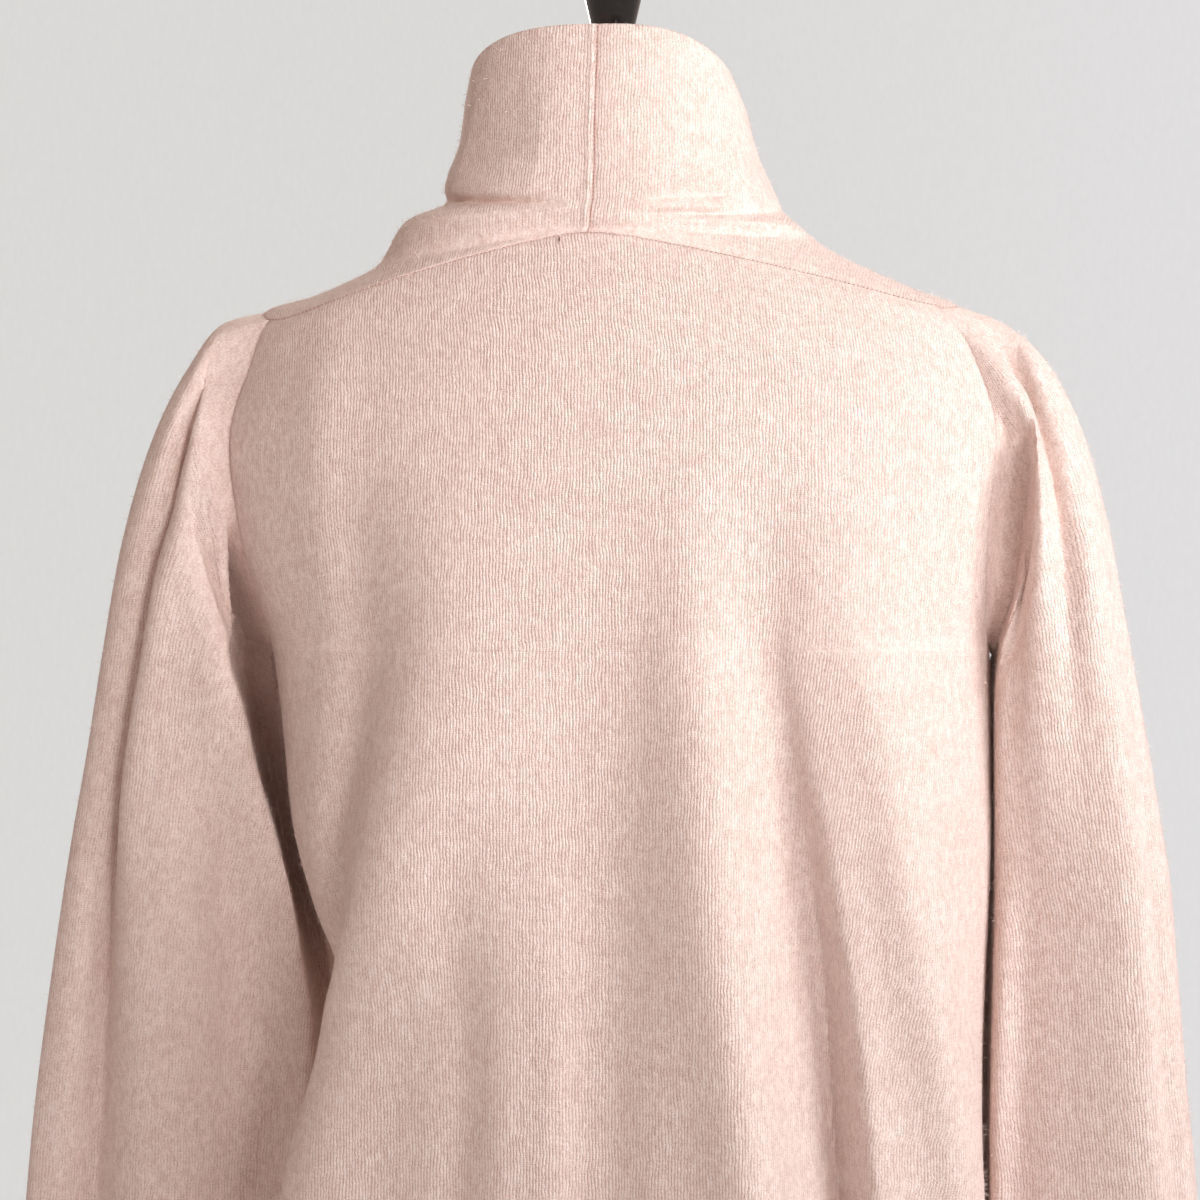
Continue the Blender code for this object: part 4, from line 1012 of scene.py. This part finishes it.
@dataclass
class Board:
    """Adds and wires the nodes of one tree."""

    tree: bpy.types.NodeTree

    def add(self, kind: str, inputs: dict | None = None, **settings: object) -> bpy.types.Node:
        """Adds a node.

        Args:
            kind: The node's type.
            inputs: Input names, or numbers, to values or to the signals that feed them.
            **settings: The node's own settings.

        Returns:
            The node.
        """
        node = self.tree.nodes.new(kind)
        for name, value in settings.items():
            setattr(node, name, value)
        self.feed(node, inputs or {})
        return node

    def feed(self, node: bpy.types.Node, inputs: dict[str | int, Value]) -> None:
        """Feeds a node's inputs with signals, or sets their own values."""
        for name, value in inputs.items():
            if isinstance(value, Signal):
                self.tree.links.new(value.socket, node.inputs[name])
            else:
                node.inputs[name].default_value = value

    def out(self, kind: str, inputs: dict | None = None, at: str | int = 0, **settings: object) -> Signal:
        """Adds a node, as add does, and gives the output of this name or number."""
        return Signal(self, self.add(kind, inputs, **settings).outputs[at])

    def maths(self, operation: str, *values: Value) -> Signal:
        """The result of a sum, a product or the like."""
        return self.out("ShaderNodeMath", dict(enumerate(values)), operation=operation)

    def rise(self, value: Signal, low: float, high: float, start: float = 0.0, end: float = 1.0) -> Signal:
        """A smooth rise of a value from start at low to end at high."""
        ends = {"Value": value, "From Min": low, "From Max": high, "To Min": start, "To Max": end}
        return self.out("ShaderNodeMapRange", ends, "Result", interpolation_type="SMOOTHSTEP")

    def noise(self, place: Signal, scale: float, detail: float = 2.0) -> Signal:
        """Soft noise from 0 to 1, with so many bumps to the metre."""
        return self.out("ShaderNodeTexNoise", {"Vector": place, "Scale": scale, "Detail": detail})

    def layers(self, *layers: tuple[Signal, float, float, float]) -> Signal:
        """Noises over one another, each with its place, bumps to the metre, detail and share."""
        place, scale, detail, share = layers[-1]
        last = self.noise(place, scale, detail) * share
        return self.layers(*layers[:-1]) + last if layers[1:] else last

    def blend(self, share: Signal, first: Value, second: Value) -> Signal:
        """A colour between two colours."""
        return self.out("ShaderNodeMix", {0: share, 6: first, 7: second}, 2, data_type="RGBA")

    def stretched(self, place: Signal, scale: tuple[float, float, float]) -> Signal:
        """A place with its axes scaled."""
        return self.out("ShaderNodeMapping", {"Vector": place, "Scale": scale})

    def parts(self, place: Signal) -> list[Signal]:
        """A place's three numbers."""
        return [Signal(self, part) for part in self.add("ShaderNodeSeparateXYZ", {0: place}).outputs]

    def place(self) -> Signal:
        """The place on the object."""
        return self.out("ShaderNodeTexCoord", at="Object")

    def mark(self, name: str) -> Signal:
        """A number that the mesh holds at each point."""
        return self.out("ShaderNodeAttribute", at="Fac", attribute_name=name)

    def bump(self, height: Signal) -> Signal:
        """The normal of a relief of this height, in metres."""
        return self.out("ShaderNodeBump", {"Height": height, "Strength": 1.0, "Distance": 1.0})


def new_finish(name: str) -> tuple[bpy.types.Material, Board, bpy.types.Node]:
    """An empty finish: the material, its board and its shader."""
    made = bpy.data.materials.new(name)
    made.use_nodes = True
    return made, Board(made.node_tree), made.node_tree.nodes["Principled BSDF"]


def linear(red: int, green: int, blue: int) -> tuple[float, float, float, float]:
    """A screen colour, 0 to 255, as the renderer's linear one."""
    parts = [c / 255 for c in (red, green, blue)]
    return (*(c / 12.92 if c <= 0.04045 else ((c + 0.055) / 1.055) ** 2.4 for c in parts), 1.0)


@dataclass(frozen=True)
class BrushedKnit:
    """Fine brushed stockinette in a heathered blush, with its nap, its wales and its sewn seams, and painted
    shade in the gaps between its stitches and along its seams.
    """

    name: str = "brushed_blush_knit"
    light: tuple = linear(242, 221, 212)
    deep: tuple = linear(217, 186, 174)
    # Painted shade: the colour of the shade in the gaps between stitches and along the seams.
    between: tuple = linear(158, 116, 104)
    hair: tuple = linear(250, 240, 236)
    wale: float = 0.0018
    course: float = 0.00125
    leg_slant: float = 0.55
    relief: float = 0.00032
    nap: float = 0.00018
    swell: float = 0.00090
    # How strongly painted shade darkens the stitch gaps, everywhere and beside the collar's linking rib.
    gap_shade: float = 0.95
    rib_gap_shade: float = 0.8
    rib_reach: tuple[float, float] = (0.012, 0.006)
    hair_pale: float = 0.5
    hair_width: float = 0.030
    seam_shade: float = 0.20
    seam_reach: tuple[float, float] = (0.0016, 0.0003)
    sheen: float = 0.28

    def wales(self, board: Board, knit: Signal, place: Signal) -> tuple[Signal, Signal]:
        """Where a point lies in its stitch.

        Args:
            board: The material's board.
            knit: The knit coordinates.
            place: The place on the object.

        Returns:
            How far it is from the wale's middle, 0 to 1, and how far up its loop, 0 to 1.
        """
        across, along, _ = board.parts(knit)
        wander = board.layers((place, 60.0, 1.0, 1.6), (knit, 420.0, 1.0, 0.8))
        from_middle = abs(board.maths("FRACT", across / self.wale + wander) - 0.5) * 2.0
        lift = from_middle * self.leg_slant + board.noise(knit, 390.0, 1.0) * 0.7
        leg = along / self.course + lift
        return from_middle, abs(board.maths("SINE", leg * np.pi))

    def colour(self, board: Board, knit: Signal, place: Signal, stitch: tuple[Signal, Signal]) -> Signal:
        """The heathered yarn, painted shade as dark dashes in the gaps between its stitches and as a line
        along its seams, and the pale hairs over them.
        """
        from_middle, loop = stitch
        fine, coarse = (board.stretched(place, (1.0, 1.0, upright)) for upright in (0.7, 0.5))
        tone = board.layers((fine, 1500.0, 1.0, 0.55), (coarse, 330.0, 2.0, 0.33), (place, 60.0, 2.0, 0.12))
        base = board.blend(board.rise(tone, 0.36, 0.64), self.light, self.deep)
        # Painted shade in the gaps between stitches. It shows in random patches and all along the collar's
        # linking rib.
        gap_shade_patches = board.noise(board.stretched(knit, (1.0, 0.6, 1.0)), 260.0, 3.0)
        linked = board.rise(board.mark("rib"), *self.rib_reach)
        gap_shade_share = board.maths("MAXIMUM", board.rise(gap_shade_patches, 0.34, 0.58), linked * self.rib_gap_shade)
        gap = board.rise(from_middle, 0.40, 1.0) * board.rise(loop, 0.95, 0.35) * gap_shade_share
        base = board.blend(gap * board.mark("clear") * self.gap_shade, base, self.between)
        hair = board.rise(abs(board.noise(place, 620.0, 1.0) - 0.5), self.hair_width, 0.0)
        base = board.blend(hair * self.hair_pale, base, self.hair)
        # Painted shade along the seams, in their grooves.
        line = board.rise(board.mark("seam"), *self.seam_reach)
        return board.blend(line * self.seam_shade, base, self.between)

    def height(self, board: Board, place: Signal, stitch: tuple[Signal, Signal]) -> Signal:
        """The stitches' relief, the nap over them and the soft swells of brushed cloth."""
        from_middle, loop = stitch
        bulge = (1.0 - board.maths("POWER", from_middle, 2.0)) * board.maths("MULTIPLY_ADD", loop, 0.4, 0.6)
        brushed = board.layers((place, 1300.0, 2.0, self.nap), (place, 430.0, 2.0, self.nap * 1.8),
                               (place, 110.0, 2.0, self.swell))
        return bulge * board.mark("clear") * self.relief + brushed

    def material(self) -> bpy.types.Material:
        """The finish."""
        made, board, shader = new_finish(self.name)
        knit, place = board.out("ShaderNodeUVMap", uv_map="knit"), board.place()
        stitch = self.wales(board, knit, place)
        board.feed(shader, {
            "Base Color": self.colour(board, knit, place, stitch),
            "Normal": board.bump(self.height(board, place, stitch)),
            "Roughness": 0.92, "Specular IOR Level": 0.2, "Sheen Weight": self.sheen,
            "Sheen Roughness": 0.45, "Sheen Tint": (1.0, 0.90, 0.85, 1.0),
        })
        return made


@dataclass(frozen=True)
class Thread:
    """Yarn or sewing thread: a soft single colour, a little uneven."""

    name: str
    light: tuple
    deep: tuple
    sheen: float = 0.4

    def material(self) -> bpy.types.Material:
        """The finish."""
        made, board, shader = new_finish(self.name)
        uneven = board.rise(board.noise(board.place(), 700.0), 0.35, 0.65)
        board.feed(shader, {"Base Color": board.blend(uneven, self.light, self.deep), "Roughness": 0.9,
                            "Specular IOR Level": 0.2, "Sheen Weight": self.sheen})
        return made


@dataclass(frozen=True)
class FormCanvas:
    """Plain-woven ecru cotton over the padded torso, sewn in upright panels."""

    name: str = "ecru_form_canvas"
    light: tuple = linear(222, 214, 199)
    deep: tuple = linear(196, 186, 168)
    thread: float = 0.0011
    relief: float = 0.00012
    girth: float = 0.13
    panels: int = 6
    seam_deep: float = 0.0008

    def material(self) -> bpy.types.Material:
        """The finish."""
        made, board, shader = new_finish(self.name)
        place = board.place()
        x, y, z = board.parts(place)
        around = board.maths("ARCTAN2", y, x)
        warp, weft = (board.maths("SINE", run * (np.pi / self.thread)) for run in (around * self.girth, z))
        weave = warp * weft
        slub = board.noise(board.stretched(place, (1.0, 1.0, 0.1)), 400.0, 2.0)
        panel = board.maths("FRACT", board.maths("MULTIPLY_ADD", around, self.panels / (2 * np.pi), 0.25))
        seam = board.rise(abs(panel - 0.5), 0.0, 0.012)
        board.feed(shader, {
            "Base Color": board.blend(board.rise(weave * 0.15 + slub, 0.3, 0.8), self.light, self.deep),
            "Normal": board.bump(weave * self.relief + seam * self.seam_deep),
            "Roughness": 0.88, "Sheen Weight": 0.15,
        })
        return made


@dataclass(frozen=True)
class GlossBlack:
    """Sprayed black: lacquer on turned wood, or enamel on steel."""

    name: str
    colour: tuple = linear(14, 13, 14)
    roughness: float = 0.09
    ripple: float = 0.00003
    coat: float = 0.6
    dusty_roughness: float = 1.9
    dusty_tint: float = 2.2

    def material(self) -> bpy.types.Material:
        """The finish."""
        made, board, shader = new_finish(self.name)
        place = board.place()
        dust = board.noise(place, 300.0, 4.0)
        tint = tuple(min(1.0, self.dusty_tint * c) for c in self.colour[:3])
        board.feed(shader, {
            "Base Color": board.blend(board.rise(dust, 0.45, 0.8), self.colour, (*tint, 1.0)),
            "Roughness": board.rise(dust, 0.3, 0.75, self.roughness, self.roughness * self.dusty_roughness),
            "Normal": board.bump(board.noise(place, 130.0, 1.0) * self.ripple),
            "Coat Weight": self.coat, "Coat Roughness": 0.05,
        })
        return made


@dataclass
class Grower:
    """A Geometry Nodes tree with named inputs, run once on an object and turned into a plain mesh."""

    name: str
    sizes: dict[str, float]
    board: Board | None = None

    def start(self) -> dict[str, Signal]:
        """Makes the tree with its inputs, and gives them by name."""
        tree = bpy.data.node_groups.new(self.name, "GeometryNodeTree")
        tree.is_modifier = True
        sockets = [("Geometry", "Geometry"), *((name, "Float") for name in self.sizes),
                   ("Shape", "Object"), ("Finish", "Material")]
        for name, kind in sockets:
            tree.interface.new_socket(name, in_out="INPUT", socket_type=f"NodeSocket{kind}")
        tree.interface.new_socket("Geometry", in_out="OUTPUT", socket_type="NodeSocketGeometry")
        self.board = Board(tree)
        given = self.board.add("NodeGroupInput").outputs
        return {name: Signal(self.board, given[name]) for name, _ in sockets}

    def end(self, given: dict[str, Signal], points: Signal, turned: Signal, scale: Signal) -> None:
        """Puts the shape on the points, makes it real and gives it its finish."""
        board = self.board
        shape = board.out("GeometryNodeObjectInfo", {"Object": given["Shape"]}, "Geometry",
                          transform_space="ORIGINAL")
        placed = board.out("GeometryNodeInstanceOnPoints", {
            "Points": points, "Instance": shape, "Rotation": turned, "Scale": scale})
        real = board.out("GeometryNodeRealizeInstances", {0: placed})
        dressed = board.out("GeometryNodeSetMaterial", {"Geometry": real, "Material": given["Finish"]})
        board.add("NodeGroupOutput", {0: dressed})

    def grow(self, name: str, on: bpy.types.Object, shape: bpy.types.Object,
             finish: bpy.types.Material, **changed: float) -> bpy.types.Object:
        """Runs the tree on an object, which is used up.

        Args:
            name: The new piece's name.
            on: The object that it grows on.
            shape: What is repeated.
            finish: The new piece's material.
            **changed: Sizes that differ from the tree's own, by name.

        Returns:
            The grown piece, as a plain mesh object at the origin.
        """
        tree = self.board.tree
        modifier = on.modifiers.new(self.name, "NODES")
        modifier.node_group = tree
        given = {**self.sizes, **changed, "Shape": shape, "Finish": finish}
        for item in tree.interface.items_tree:
            if item.in_out == "INPUT" and item.name in given:
                modifier[item.identifier] = given[item.name]
        evaluated = on.evaluated_get(bpy.context.evaluated_depsgraph_get())
        mesh = bpy.data.meshes.new_from_object(evaluated)
        mesh.name = name
        on.modifiers.remove(modifier)
        bpy.data.objects.remove(on)
        return enter(new_object(name, mesh))


@dataclass
class Nap(Grower):
    """Loose fibres that stand off the brushed cloth, bent over at random."""

    name: str = "nap"
    sizes: dict[str, float] = field(default_factory=lambda: {
        "Density": 98000.0, "Tilt": 1.0, "Shortest": 0.40, "Longest": 1.50, "Seed": 7.0})

    def __post_init__(self) -> None:
        """Builds the tree."""
        given = self.start()
        board, tilt, seed = self.board, given["Tilt"], given["Seed"]
        spread = board.add("GeometryNodeDistributePointsOnFaces", {
            "Mesh": given["Geometry"], "Density": given["Density"], "Seed": seed}).outputs
        points, upright = (Signal(board, spread[name]) for name in ("Points", "Rotation"))
        back = tilt * -1.0
        low = board.out("ShaderNodeCombineXYZ", {0: back, 1: back, 2: 0.0})
        high = board.out("ShaderNodeCombineXYZ", {0: tilt, 1: tilt, 2: 2 * np.pi})
        lean = board.out("FunctionNodeRandomValue", {0: low, 1: high, "Seed": seed},
                         data_type="FLOAT_VECTOR")
        turn = board.out("FunctionNodeEulerToRotation", {0: lean})
        both = board.out("FunctionNodeRotateRotation", {"Rotation": upright, "Rotate By": turn},
                         rotation_space="LOCAL")
        size = board.out("FunctionNodeRandomValue", {2: given["Shortest"], 3: given["Longest"], "Seed": seed},
                         1, data_type="FLOAT")
        self.end(given, points, both, size)


@dataclass
class StitchRow(Grower):
    """Stitches one after another along a line of points."""

    name: str = "stitch_row"
    sizes: dict[str, float] = field(default_factory=lambda: {"Spacing": 0.003, "Size": 1.0})

    def __post_init__(self) -> None:
        """Builds the tree."""
        given = self.start()
        board = self.board
        line = board.out("GeometryNodeMeshToCurve", {"Mesh": given["Geometry"]})
        evenly = board.out("GeometryNodeResampleCurve", {"Curve": line, "Length": given["Spacing"]},
                           mode="LENGTH")
        tangent = board.out("GeometryNodeInputTangent")
        aim = board.out("FunctionNodeAlignRotationToVector", {"Vector": tangent}, axis="X")
        self.end(given, evenly, aim, given["Size"])

    def sew(self, name: str, path: np.ndarray, shape: bpy.types.Object,
            finish: bpy.types.Material, **changed: float) -> bpy.types.Object:
        """Sews along a path of points."""
        mesh = bpy.data.meshes.new("path")
        mesh.from_pydata(path.tolist(), [(k, k + 1) for k in range(len(path) - 1)], [])
        return self.grow(name, new_object("path", mesh), shape, finish, **changed)


def fibre_shape(length: float = 0.0028, width: float = 0.00014, bend: float = 1.1) -> bpy.types.Object:
    """One fibre that stands on the origin: a tapered ribbon that bends over as it rises."""
    shares = np.array([0.0, 0.5, 1.0])
    steps = np.diff(shares, prepend=0.0) * length
    x, z = np.cumsum(np.sin(bend * shares) * steps), np.cumsum(np.cos(bend * shares) * steps)
    half = width / 2 * np.array([1.0, 0.8])
    left = np.stack([x[:2], half, z[:2]], axis=1)
    right = np.stack([x[:2], -half, z[:2]], axis=1)
    points = np.concatenate([left, right, [[x[2], 0.0, z[2]]]])
    return mesh_object("fibre", points, [(0, 2, 3, 1), (1, 3, 4)])


def stitch_shape(length: float, thick: float, sides: int = 6) -> bpy.types.Object:
    """One stitch along X: a plump strand that dives into the cloth at both ends."""
    stations = np.array([-0.5, -0.38, -0.15, 0.15, 0.38, 0.5])
    sizes = np.array([0.25, 0.8, 1.0, 1.0, 0.8, 0.25]) * thick / 2
    around = 2 * np.pi * np.arange(sides) / sides
    rings = [np.stack([np.full(sides, s * length), r * np.cos(around), r * np.sin(around)], axis=1)
             for s, r in zip(stations, sizes)]
    numbers = np.arange(len(rings) * sides).reshape(len(rings), sides)
    after = np.roll(numbers, -1, axis=1)
    quads = np.stack([numbers[:-1], after[:-1], after[1:], numbers[1:]], axis=-1).reshape(-1, 4)[:, ::-1]
    faces = [*quads.tolist(), numbers[0].tolist(), numbers[-1, ::-1].tolist()]
    return mesh_object("stitch", np.concatenate(rings), faces)


@dataclass
class Finial:
    """The turned black finial on the form's neck cap, rounder than its solid."""

    node: str = "form_finial"
    profile: tuple = (
        (0.0, 0.0960), (0.0042, 0.0957), (0.0075, 0.0950), (0.0145, 0.0915), (0.0195, 0.0850),
        (0.0212, 0.0760), (0.0198, 0.0640), (0.0163, 0.0480), (0.0124, 0.0310), (0.0098, 0.0200),
        (0.0098, 0.0140), (0.0150, 0.0080), (0.0180, 0.0035), (0.0180, 0.0),
    )
    steps: int = 96
    rows: int = 90

    def build(self, finish: bpy.types.Material) -> bpy.types.Object:
        """Spins the smoothed profile on the node's place."""
        low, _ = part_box(self.node)
        knots = np.concatenate([[0], np.cumsum(np.linalg.norm(np.diff(self.profile, axis=0), axis=1))])
        radius, height = curve(knots, self.profile, np.linspace(0, knots[-1], self.rows)).T
        around = 2 * np.pi * np.arange(self.steps) / self.steps
        ring = np.stack([np.outer(radius[1:], np.cos(around)), np.outer(radius[1:], np.sin(around)),
                         np.repeat(height[1:, None] + low.z, self.steps, axis=1)], axis=-1)
        points = np.concatenate([[[0, 0, height[0] + low.z], [0, 0, low.z]], ring.reshape(-1, 3)])
        numbers = 2 + np.arange(ring[..., 0].size).reshape(len(ring), self.steps)
        after = np.roll(numbers, -1, axis=1)
        quads = np.stack([numbers[:-1], numbers[1:], after[1:], after[:-1]], axis=-1).reshape(-1, 4)
        faces = quads.tolist()
        faces += [(0, a, b) for a, b in zip(numbers[0], after[0])]
        faces += [(1, b, a) for a, b in zip(numbers[-1], after[-1])]
        made = mesh_object("turned_finial", points, faces)
        made.data.materials.append(finish)
        return enter(made, self.node)


@dataclass(frozen=True)
class DressForm:
    """The form and its stand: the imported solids, with their finishes."""

    finishes: tuple = (
        ("form_torso", FormCanvas()),
        ("form_neck_cap", GlossBlack("black_lacquered_wood")),
        ("stand_pole", GlossBlack("black_enamelled_steel", roughness=0.16, coat=0.3)),
        ("stand_base", GlossBlack("black_enamelled_iron", roughness=0.22, ripple=0.00008, coat=0.2)),
    )

    def build(self) -> None:
        """Dresses each solid and turns the finial."""
        for node, finish in self.finishes:
            made = finish.material()
            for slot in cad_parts[node].material_slots:
                slot.material = made
            log.info("%s: %s", node, made.name)
        Finial().build(GlossBlack("black_lacquered_finial").material())


def aimed(made: bpy.types.Object, place: Sequence[float], way: Vector) -> None:
    """Puts a lamp or a camera in its place and points it this way."""
    made.location = place
    made.rotation_euler = way.to_track_quat("-Z", "Y").to_euler()


@dataclass(frozen=True)
class Lamp:
    """A square soft light."""

    name: str
    place: tuple[float, float, float]
    watts: float
    size: float
    aim: tuple[float, float, float] = (0.0, 0.0, 1.2)
    colour: tuple[float, float, float] = (1.0, 1.0, 1.0)
    spread: float = 180.0

    def build(self) -> None:
        """Hangs the lamp."""
        light = bpy.data.lights.new(self.name, "AREA")
        light.spread = np.radians(self.spread)
        light.energy, light.size, light.color = self.watts, self.size, self.colour
        aimed(new_object(self.name, light), self.place, Vector(self.aim) - Vector(self.place))


@dataclass(frozen=True)
class Studio:
    """The floor, the pale backdrop, the lamps and the camera at the photograph's angle."""

    lamps: tuple[Lamp, ...] = (
        Lamp("key", (-1.6, 0.7, 1.8), 26.0, 0.8, aim=(0.0, 0.0, 1.3), colour=(0.92, 0.985, 1.04)),
        Lamp("front", (-1.5, 2.6, 1.7), 2.5, 1.0, aim=(0.0, 0.0, 1.50), colour=(0.96, 0.985, 1.0),
             spread=30.0),
        Lamp("far_side", (1.0, -2.6, 2.0), 42.0, 1.2, colour=(1.0, 0.99, 0.97)),
    )
    backdrop_left: tuple = linear(218, 217, 215)
    backdrop_right: tuple = linear(227, 225, 226)
    ambient: float = 0.45
    ambient_colour: tuple = (1.0, 0.83, 0.74, 1.0)
    floor: tuple = linear(226, 232, 238)
    floor_glow: float = 0.25
    floor_radius: float = 3.4
    floor_sides: int = 96
    camera_turn: float = np.radians(6)
    camera_away: float = 2.2
    camera_aim: tuple[float, float, float] = (0.00745, 0.0, 1.213)
    lens: float = 115.8
    sensor: float = 36.0

    def sky(self) -> None:
        """Lights the room evenly, behind a backdrop that is a little brighter on the lamp's side."""
        world = bpy.data.worlds.new("studio")
        bpy.context.scene.world = world
        world.use_nodes = True
        world.node_tree.nodes.clear()
        board = Board(world.node_tree)
        way = board.out("ShaderNodeTexCoord", at="Generated")
        across = board.parts(way)[0]
        paper = board.noise(board.stretched(way, (1.0, 1.0, 0.4)), 900.0, 2.0)
        tint = board.blend(board.rise(across, 0.16, -0.16), self.backdrop_left, self.backdrop_right)
        grain = board.rise(paper, 0.2, 0.8, 0.985, 1.015)
        seen = board.out("ShaderNodeBackground", {"Color": tint, "Strength": grain})
        lit = board.out("ShaderNodeBackground", {"Color": self.ambient_colour, "Strength": self.ambient})
        path = board.out("ShaderNodeLightPath", at="Is Camera Ray")
        board.add("ShaderNodeOutputWorld", {0: board.out("ShaderNodeMixShader", {0: path, 1: lit, 2: seen})})

    def ground(self) -> None:
        """Lays a plain pale floor, which also glows faintly as painted light."""
        around = 2 * np.pi * np.arange(self.floor_sides) / self.floor_sides
        points = np.stack([np.cos(around), np.sin(around), np.zeros(self.floor_sides)], axis=1)
        made = mesh_object("floor", points * self.floor_radius, [range(self.floor_sides)])
        finish, board, shader = new_finish("pale_floor")
        tone = board.rise(board.noise(board.place(), 40.0, 4.0), 0.3, 0.7)
        lighter = tuple(min(1.0, c * 1.03) for c in self.floor)
        # The glow is painted light: the floor shines and throws light up though it is no lamp.
        board.feed(shader, {"Base Color": board.blend(tone, self.floor, lighter), "Roughness": 0.8,
                            "Emission Color": self.floor, "Emission Strength": self.floor_glow})
        made.data.materials.append(finish)

    def camera(self) -> None:
        """Sets the camera level behind the sweater, a little to the wearer's right."""
        data = bpy.data.cameras.new("camera")
        data.lens, data.sensor_width = self.lens, self.sensor
        way = Vector((-np.sin(self.camera_turn), np.cos(self.camera_turn), 0.0))
        made = new_object("camera", data)
        aimed(made, Vector(self.camera_aim) + way * self.camera_away, -way)
        bpy.context.scene.camera = made

    def build(self) -> None:
        """Sets the studio up."""
        self.sky()
        self.ground()
        for lamp in self.lamps:
            lamp.build()
        self.camera()
        bpy.context.scene.view_settings.view_transform = "Standard"


@dataclass
class Sweater:
    """The turtleneck: its four cut pieces, their nap and their stitching."""

    knit: BrushedKnit = BrushedKnit()
    fibre: Thread = Thread("loose_fibre", linear(244, 224, 215), linear(228, 200, 189), 0.35)
    yarn: Thread = Thread("hem_yarn", linear(236, 208, 198), linear(206, 166, 153))
    linking: Thread = Thread("linking_yarn", linear(202, 150, 136), linear(168, 112, 100), 0.2)
    tacking: Thread = Thread("tacking_thread", linear(96, 62, 54), linear(70, 44, 38), 0.1)
    form: tuple[str, ...] = ("form_torso",)
    over_seam: float = 0.0005
    hem_row: int = 6
    cuff_row: int = -5
    tack_place: tuple[float, float] = (0.0244, 1.4135)
    tack_size: tuple[float, float] = (0.0034, 0.0008)
    hem_stitch: tuple[float, float] = (0.0026, 0.0006)
    linking_stitch: tuple[float, float] = (0.0017, 0.00055)

    def sheets(self) -> tuple[Sheet, Sheet, Sheet, Sheet]:
        """The four cut pieces with their flat sizes."""
        return (
            BackPanel("sweater_back", "back_panel", (0.50, 0.68), 0.32),
            FrontPanel("sweater_front", "front_panel", (0.62, 0.80), 0.40),
            Sleeve("sweater_sleeve_left", "sleeve_left", (0.40, 0.60), 0.20, side=Side.LEFT),
            Sleeve("sweater_sleeve_right", "sleeve_right", (0.40, 0.60), 0.20, side=Side.RIGHT),
        )

    def tack(self, back: Patch) -> bpy.types.Object:
        """The one dark tacking stitch that is left by the seam, a little left of the centre back."""
        x, z = self.tack_place
        away = np.abs(back.points[..., 0] - x) + np.abs(back.points[..., 2] - z)
        row, column = np.unravel_index(away.argmin(), away.shape)
        normal = back.normals[row, column]
        base = back.points[row, column] + normal * self.over_seam
        up = unit(back.points[row, column] - back.points[row - 2, column])
        side = np.cross(normal, up)
        made = stitch_shape(*self.tack_size)
        made.name = "tacking_stitch"
        for vertex in made.data.vertices:
            along, across, out = vertex.co
            vertex.co = base + up * along + side * across + normal * out
        made.data.materials.append(self.tacking.material())
        return enter(made)

    def seams(self, back: Patch, front: Patch, collar: Patch, sleeves: dict[Side, Patch]) -> dict[str, list]:
        """Sews the seams and the turned edges.

        Args:
            back: The back's patch.
            front: The front's patch, under the shoulders.
            collar: The collar's patch.
            sleeves: Each sleeve's patch.

        Returns:
            The rows of stitches that go with each cut piece.
        """
        row = StitchRow()
        hemming, linking = stitch_shape(*self.hem_stitch), stitch_shape(*self.linking_stitch)
        yarn, link = self.yarn.material(), self.linking.material()

        def over(patch: Patch, at: int | tuple) -> np.ndarray:
            """A line of the patch's points, lifted off the cloth."""
            return patch.points[at] + patch.normals[at] * self.over_seam

        made = {
            "sweater_back": [
                row.sew("hem_back_stitches", back.points[self.hem_row], hemming, yarn),
                row.sew("shoulder_stitches", over(back, -1), linking, link, Spacing=0.0026, Size=0.8),
                self.tack(back),
            ],
            "sweater_front": [
                row.sew("hem_front_stitches", front.points[self.hem_row], hemming, yarn),
                row.sew("collar_back_stitches", over(collar, np.s_[:, -1]), linking, link, Spacing=0.0022),
            ],
        }
        for side, patch in sleeves.items():
            made[f"sweater_sleeve_{side.word}"] = [
                row.sew(f"cuff_{side.word}_stitches", patch.points[self.cuff_row], hemming, yarn),
                row.sew(f"armhole_{side.word}_stitches", over(patch, 0), linking, yarn,
                        Spacing=0.0032, Size=0.8),
            ]
        for shape in (hemming, linking):
            bpy.data.objects.remove(shape)
        return made

    def build(self) -> None:
        """Makes the pieces and what goes with them."""
        cloth, fibres = self.knit.material(), self.fibre.material()
        nap, fibre = Nap(), fibre_shape()
        back, front, left, right = self.sheets()
        back_wall, back_patch = back.build()
        front_wall, body_patch, collar_patch = front.build()
        left_wall, left_patch = left.build(back_patch, body_patch, collar_patch)
        right_wall, right_patch = right.build(back_patch, body_patch, collar_patch)
        sleeves = {Side.LEFT: left_patch, Side.RIGHT: right_patch}
        extras = self.seams(back_patch, body_patch, collar_patch, sleeves)
        body = (back.name, front.name)
        for sheet, wall, rests in ((back, back_wall, self.form), (front, front_wall, self.form),
                                   (left, left_wall, body), (right, right_wall, body)):
            grown = nap.grow(f"{sheet.name}_nap", wall.skin(), fibre, fibres)
            sheet.settle(wall.close(cloth), rests, [*extras[sheet.name], grown])
        bpy.data.objects.remove(fibre)


def main() -> None:
    """Builds the studio, the form and the sweater."""
    Studio().build()
    DressForm().build()
    Sweater().build()


if __name__ == "__main__":
    main()
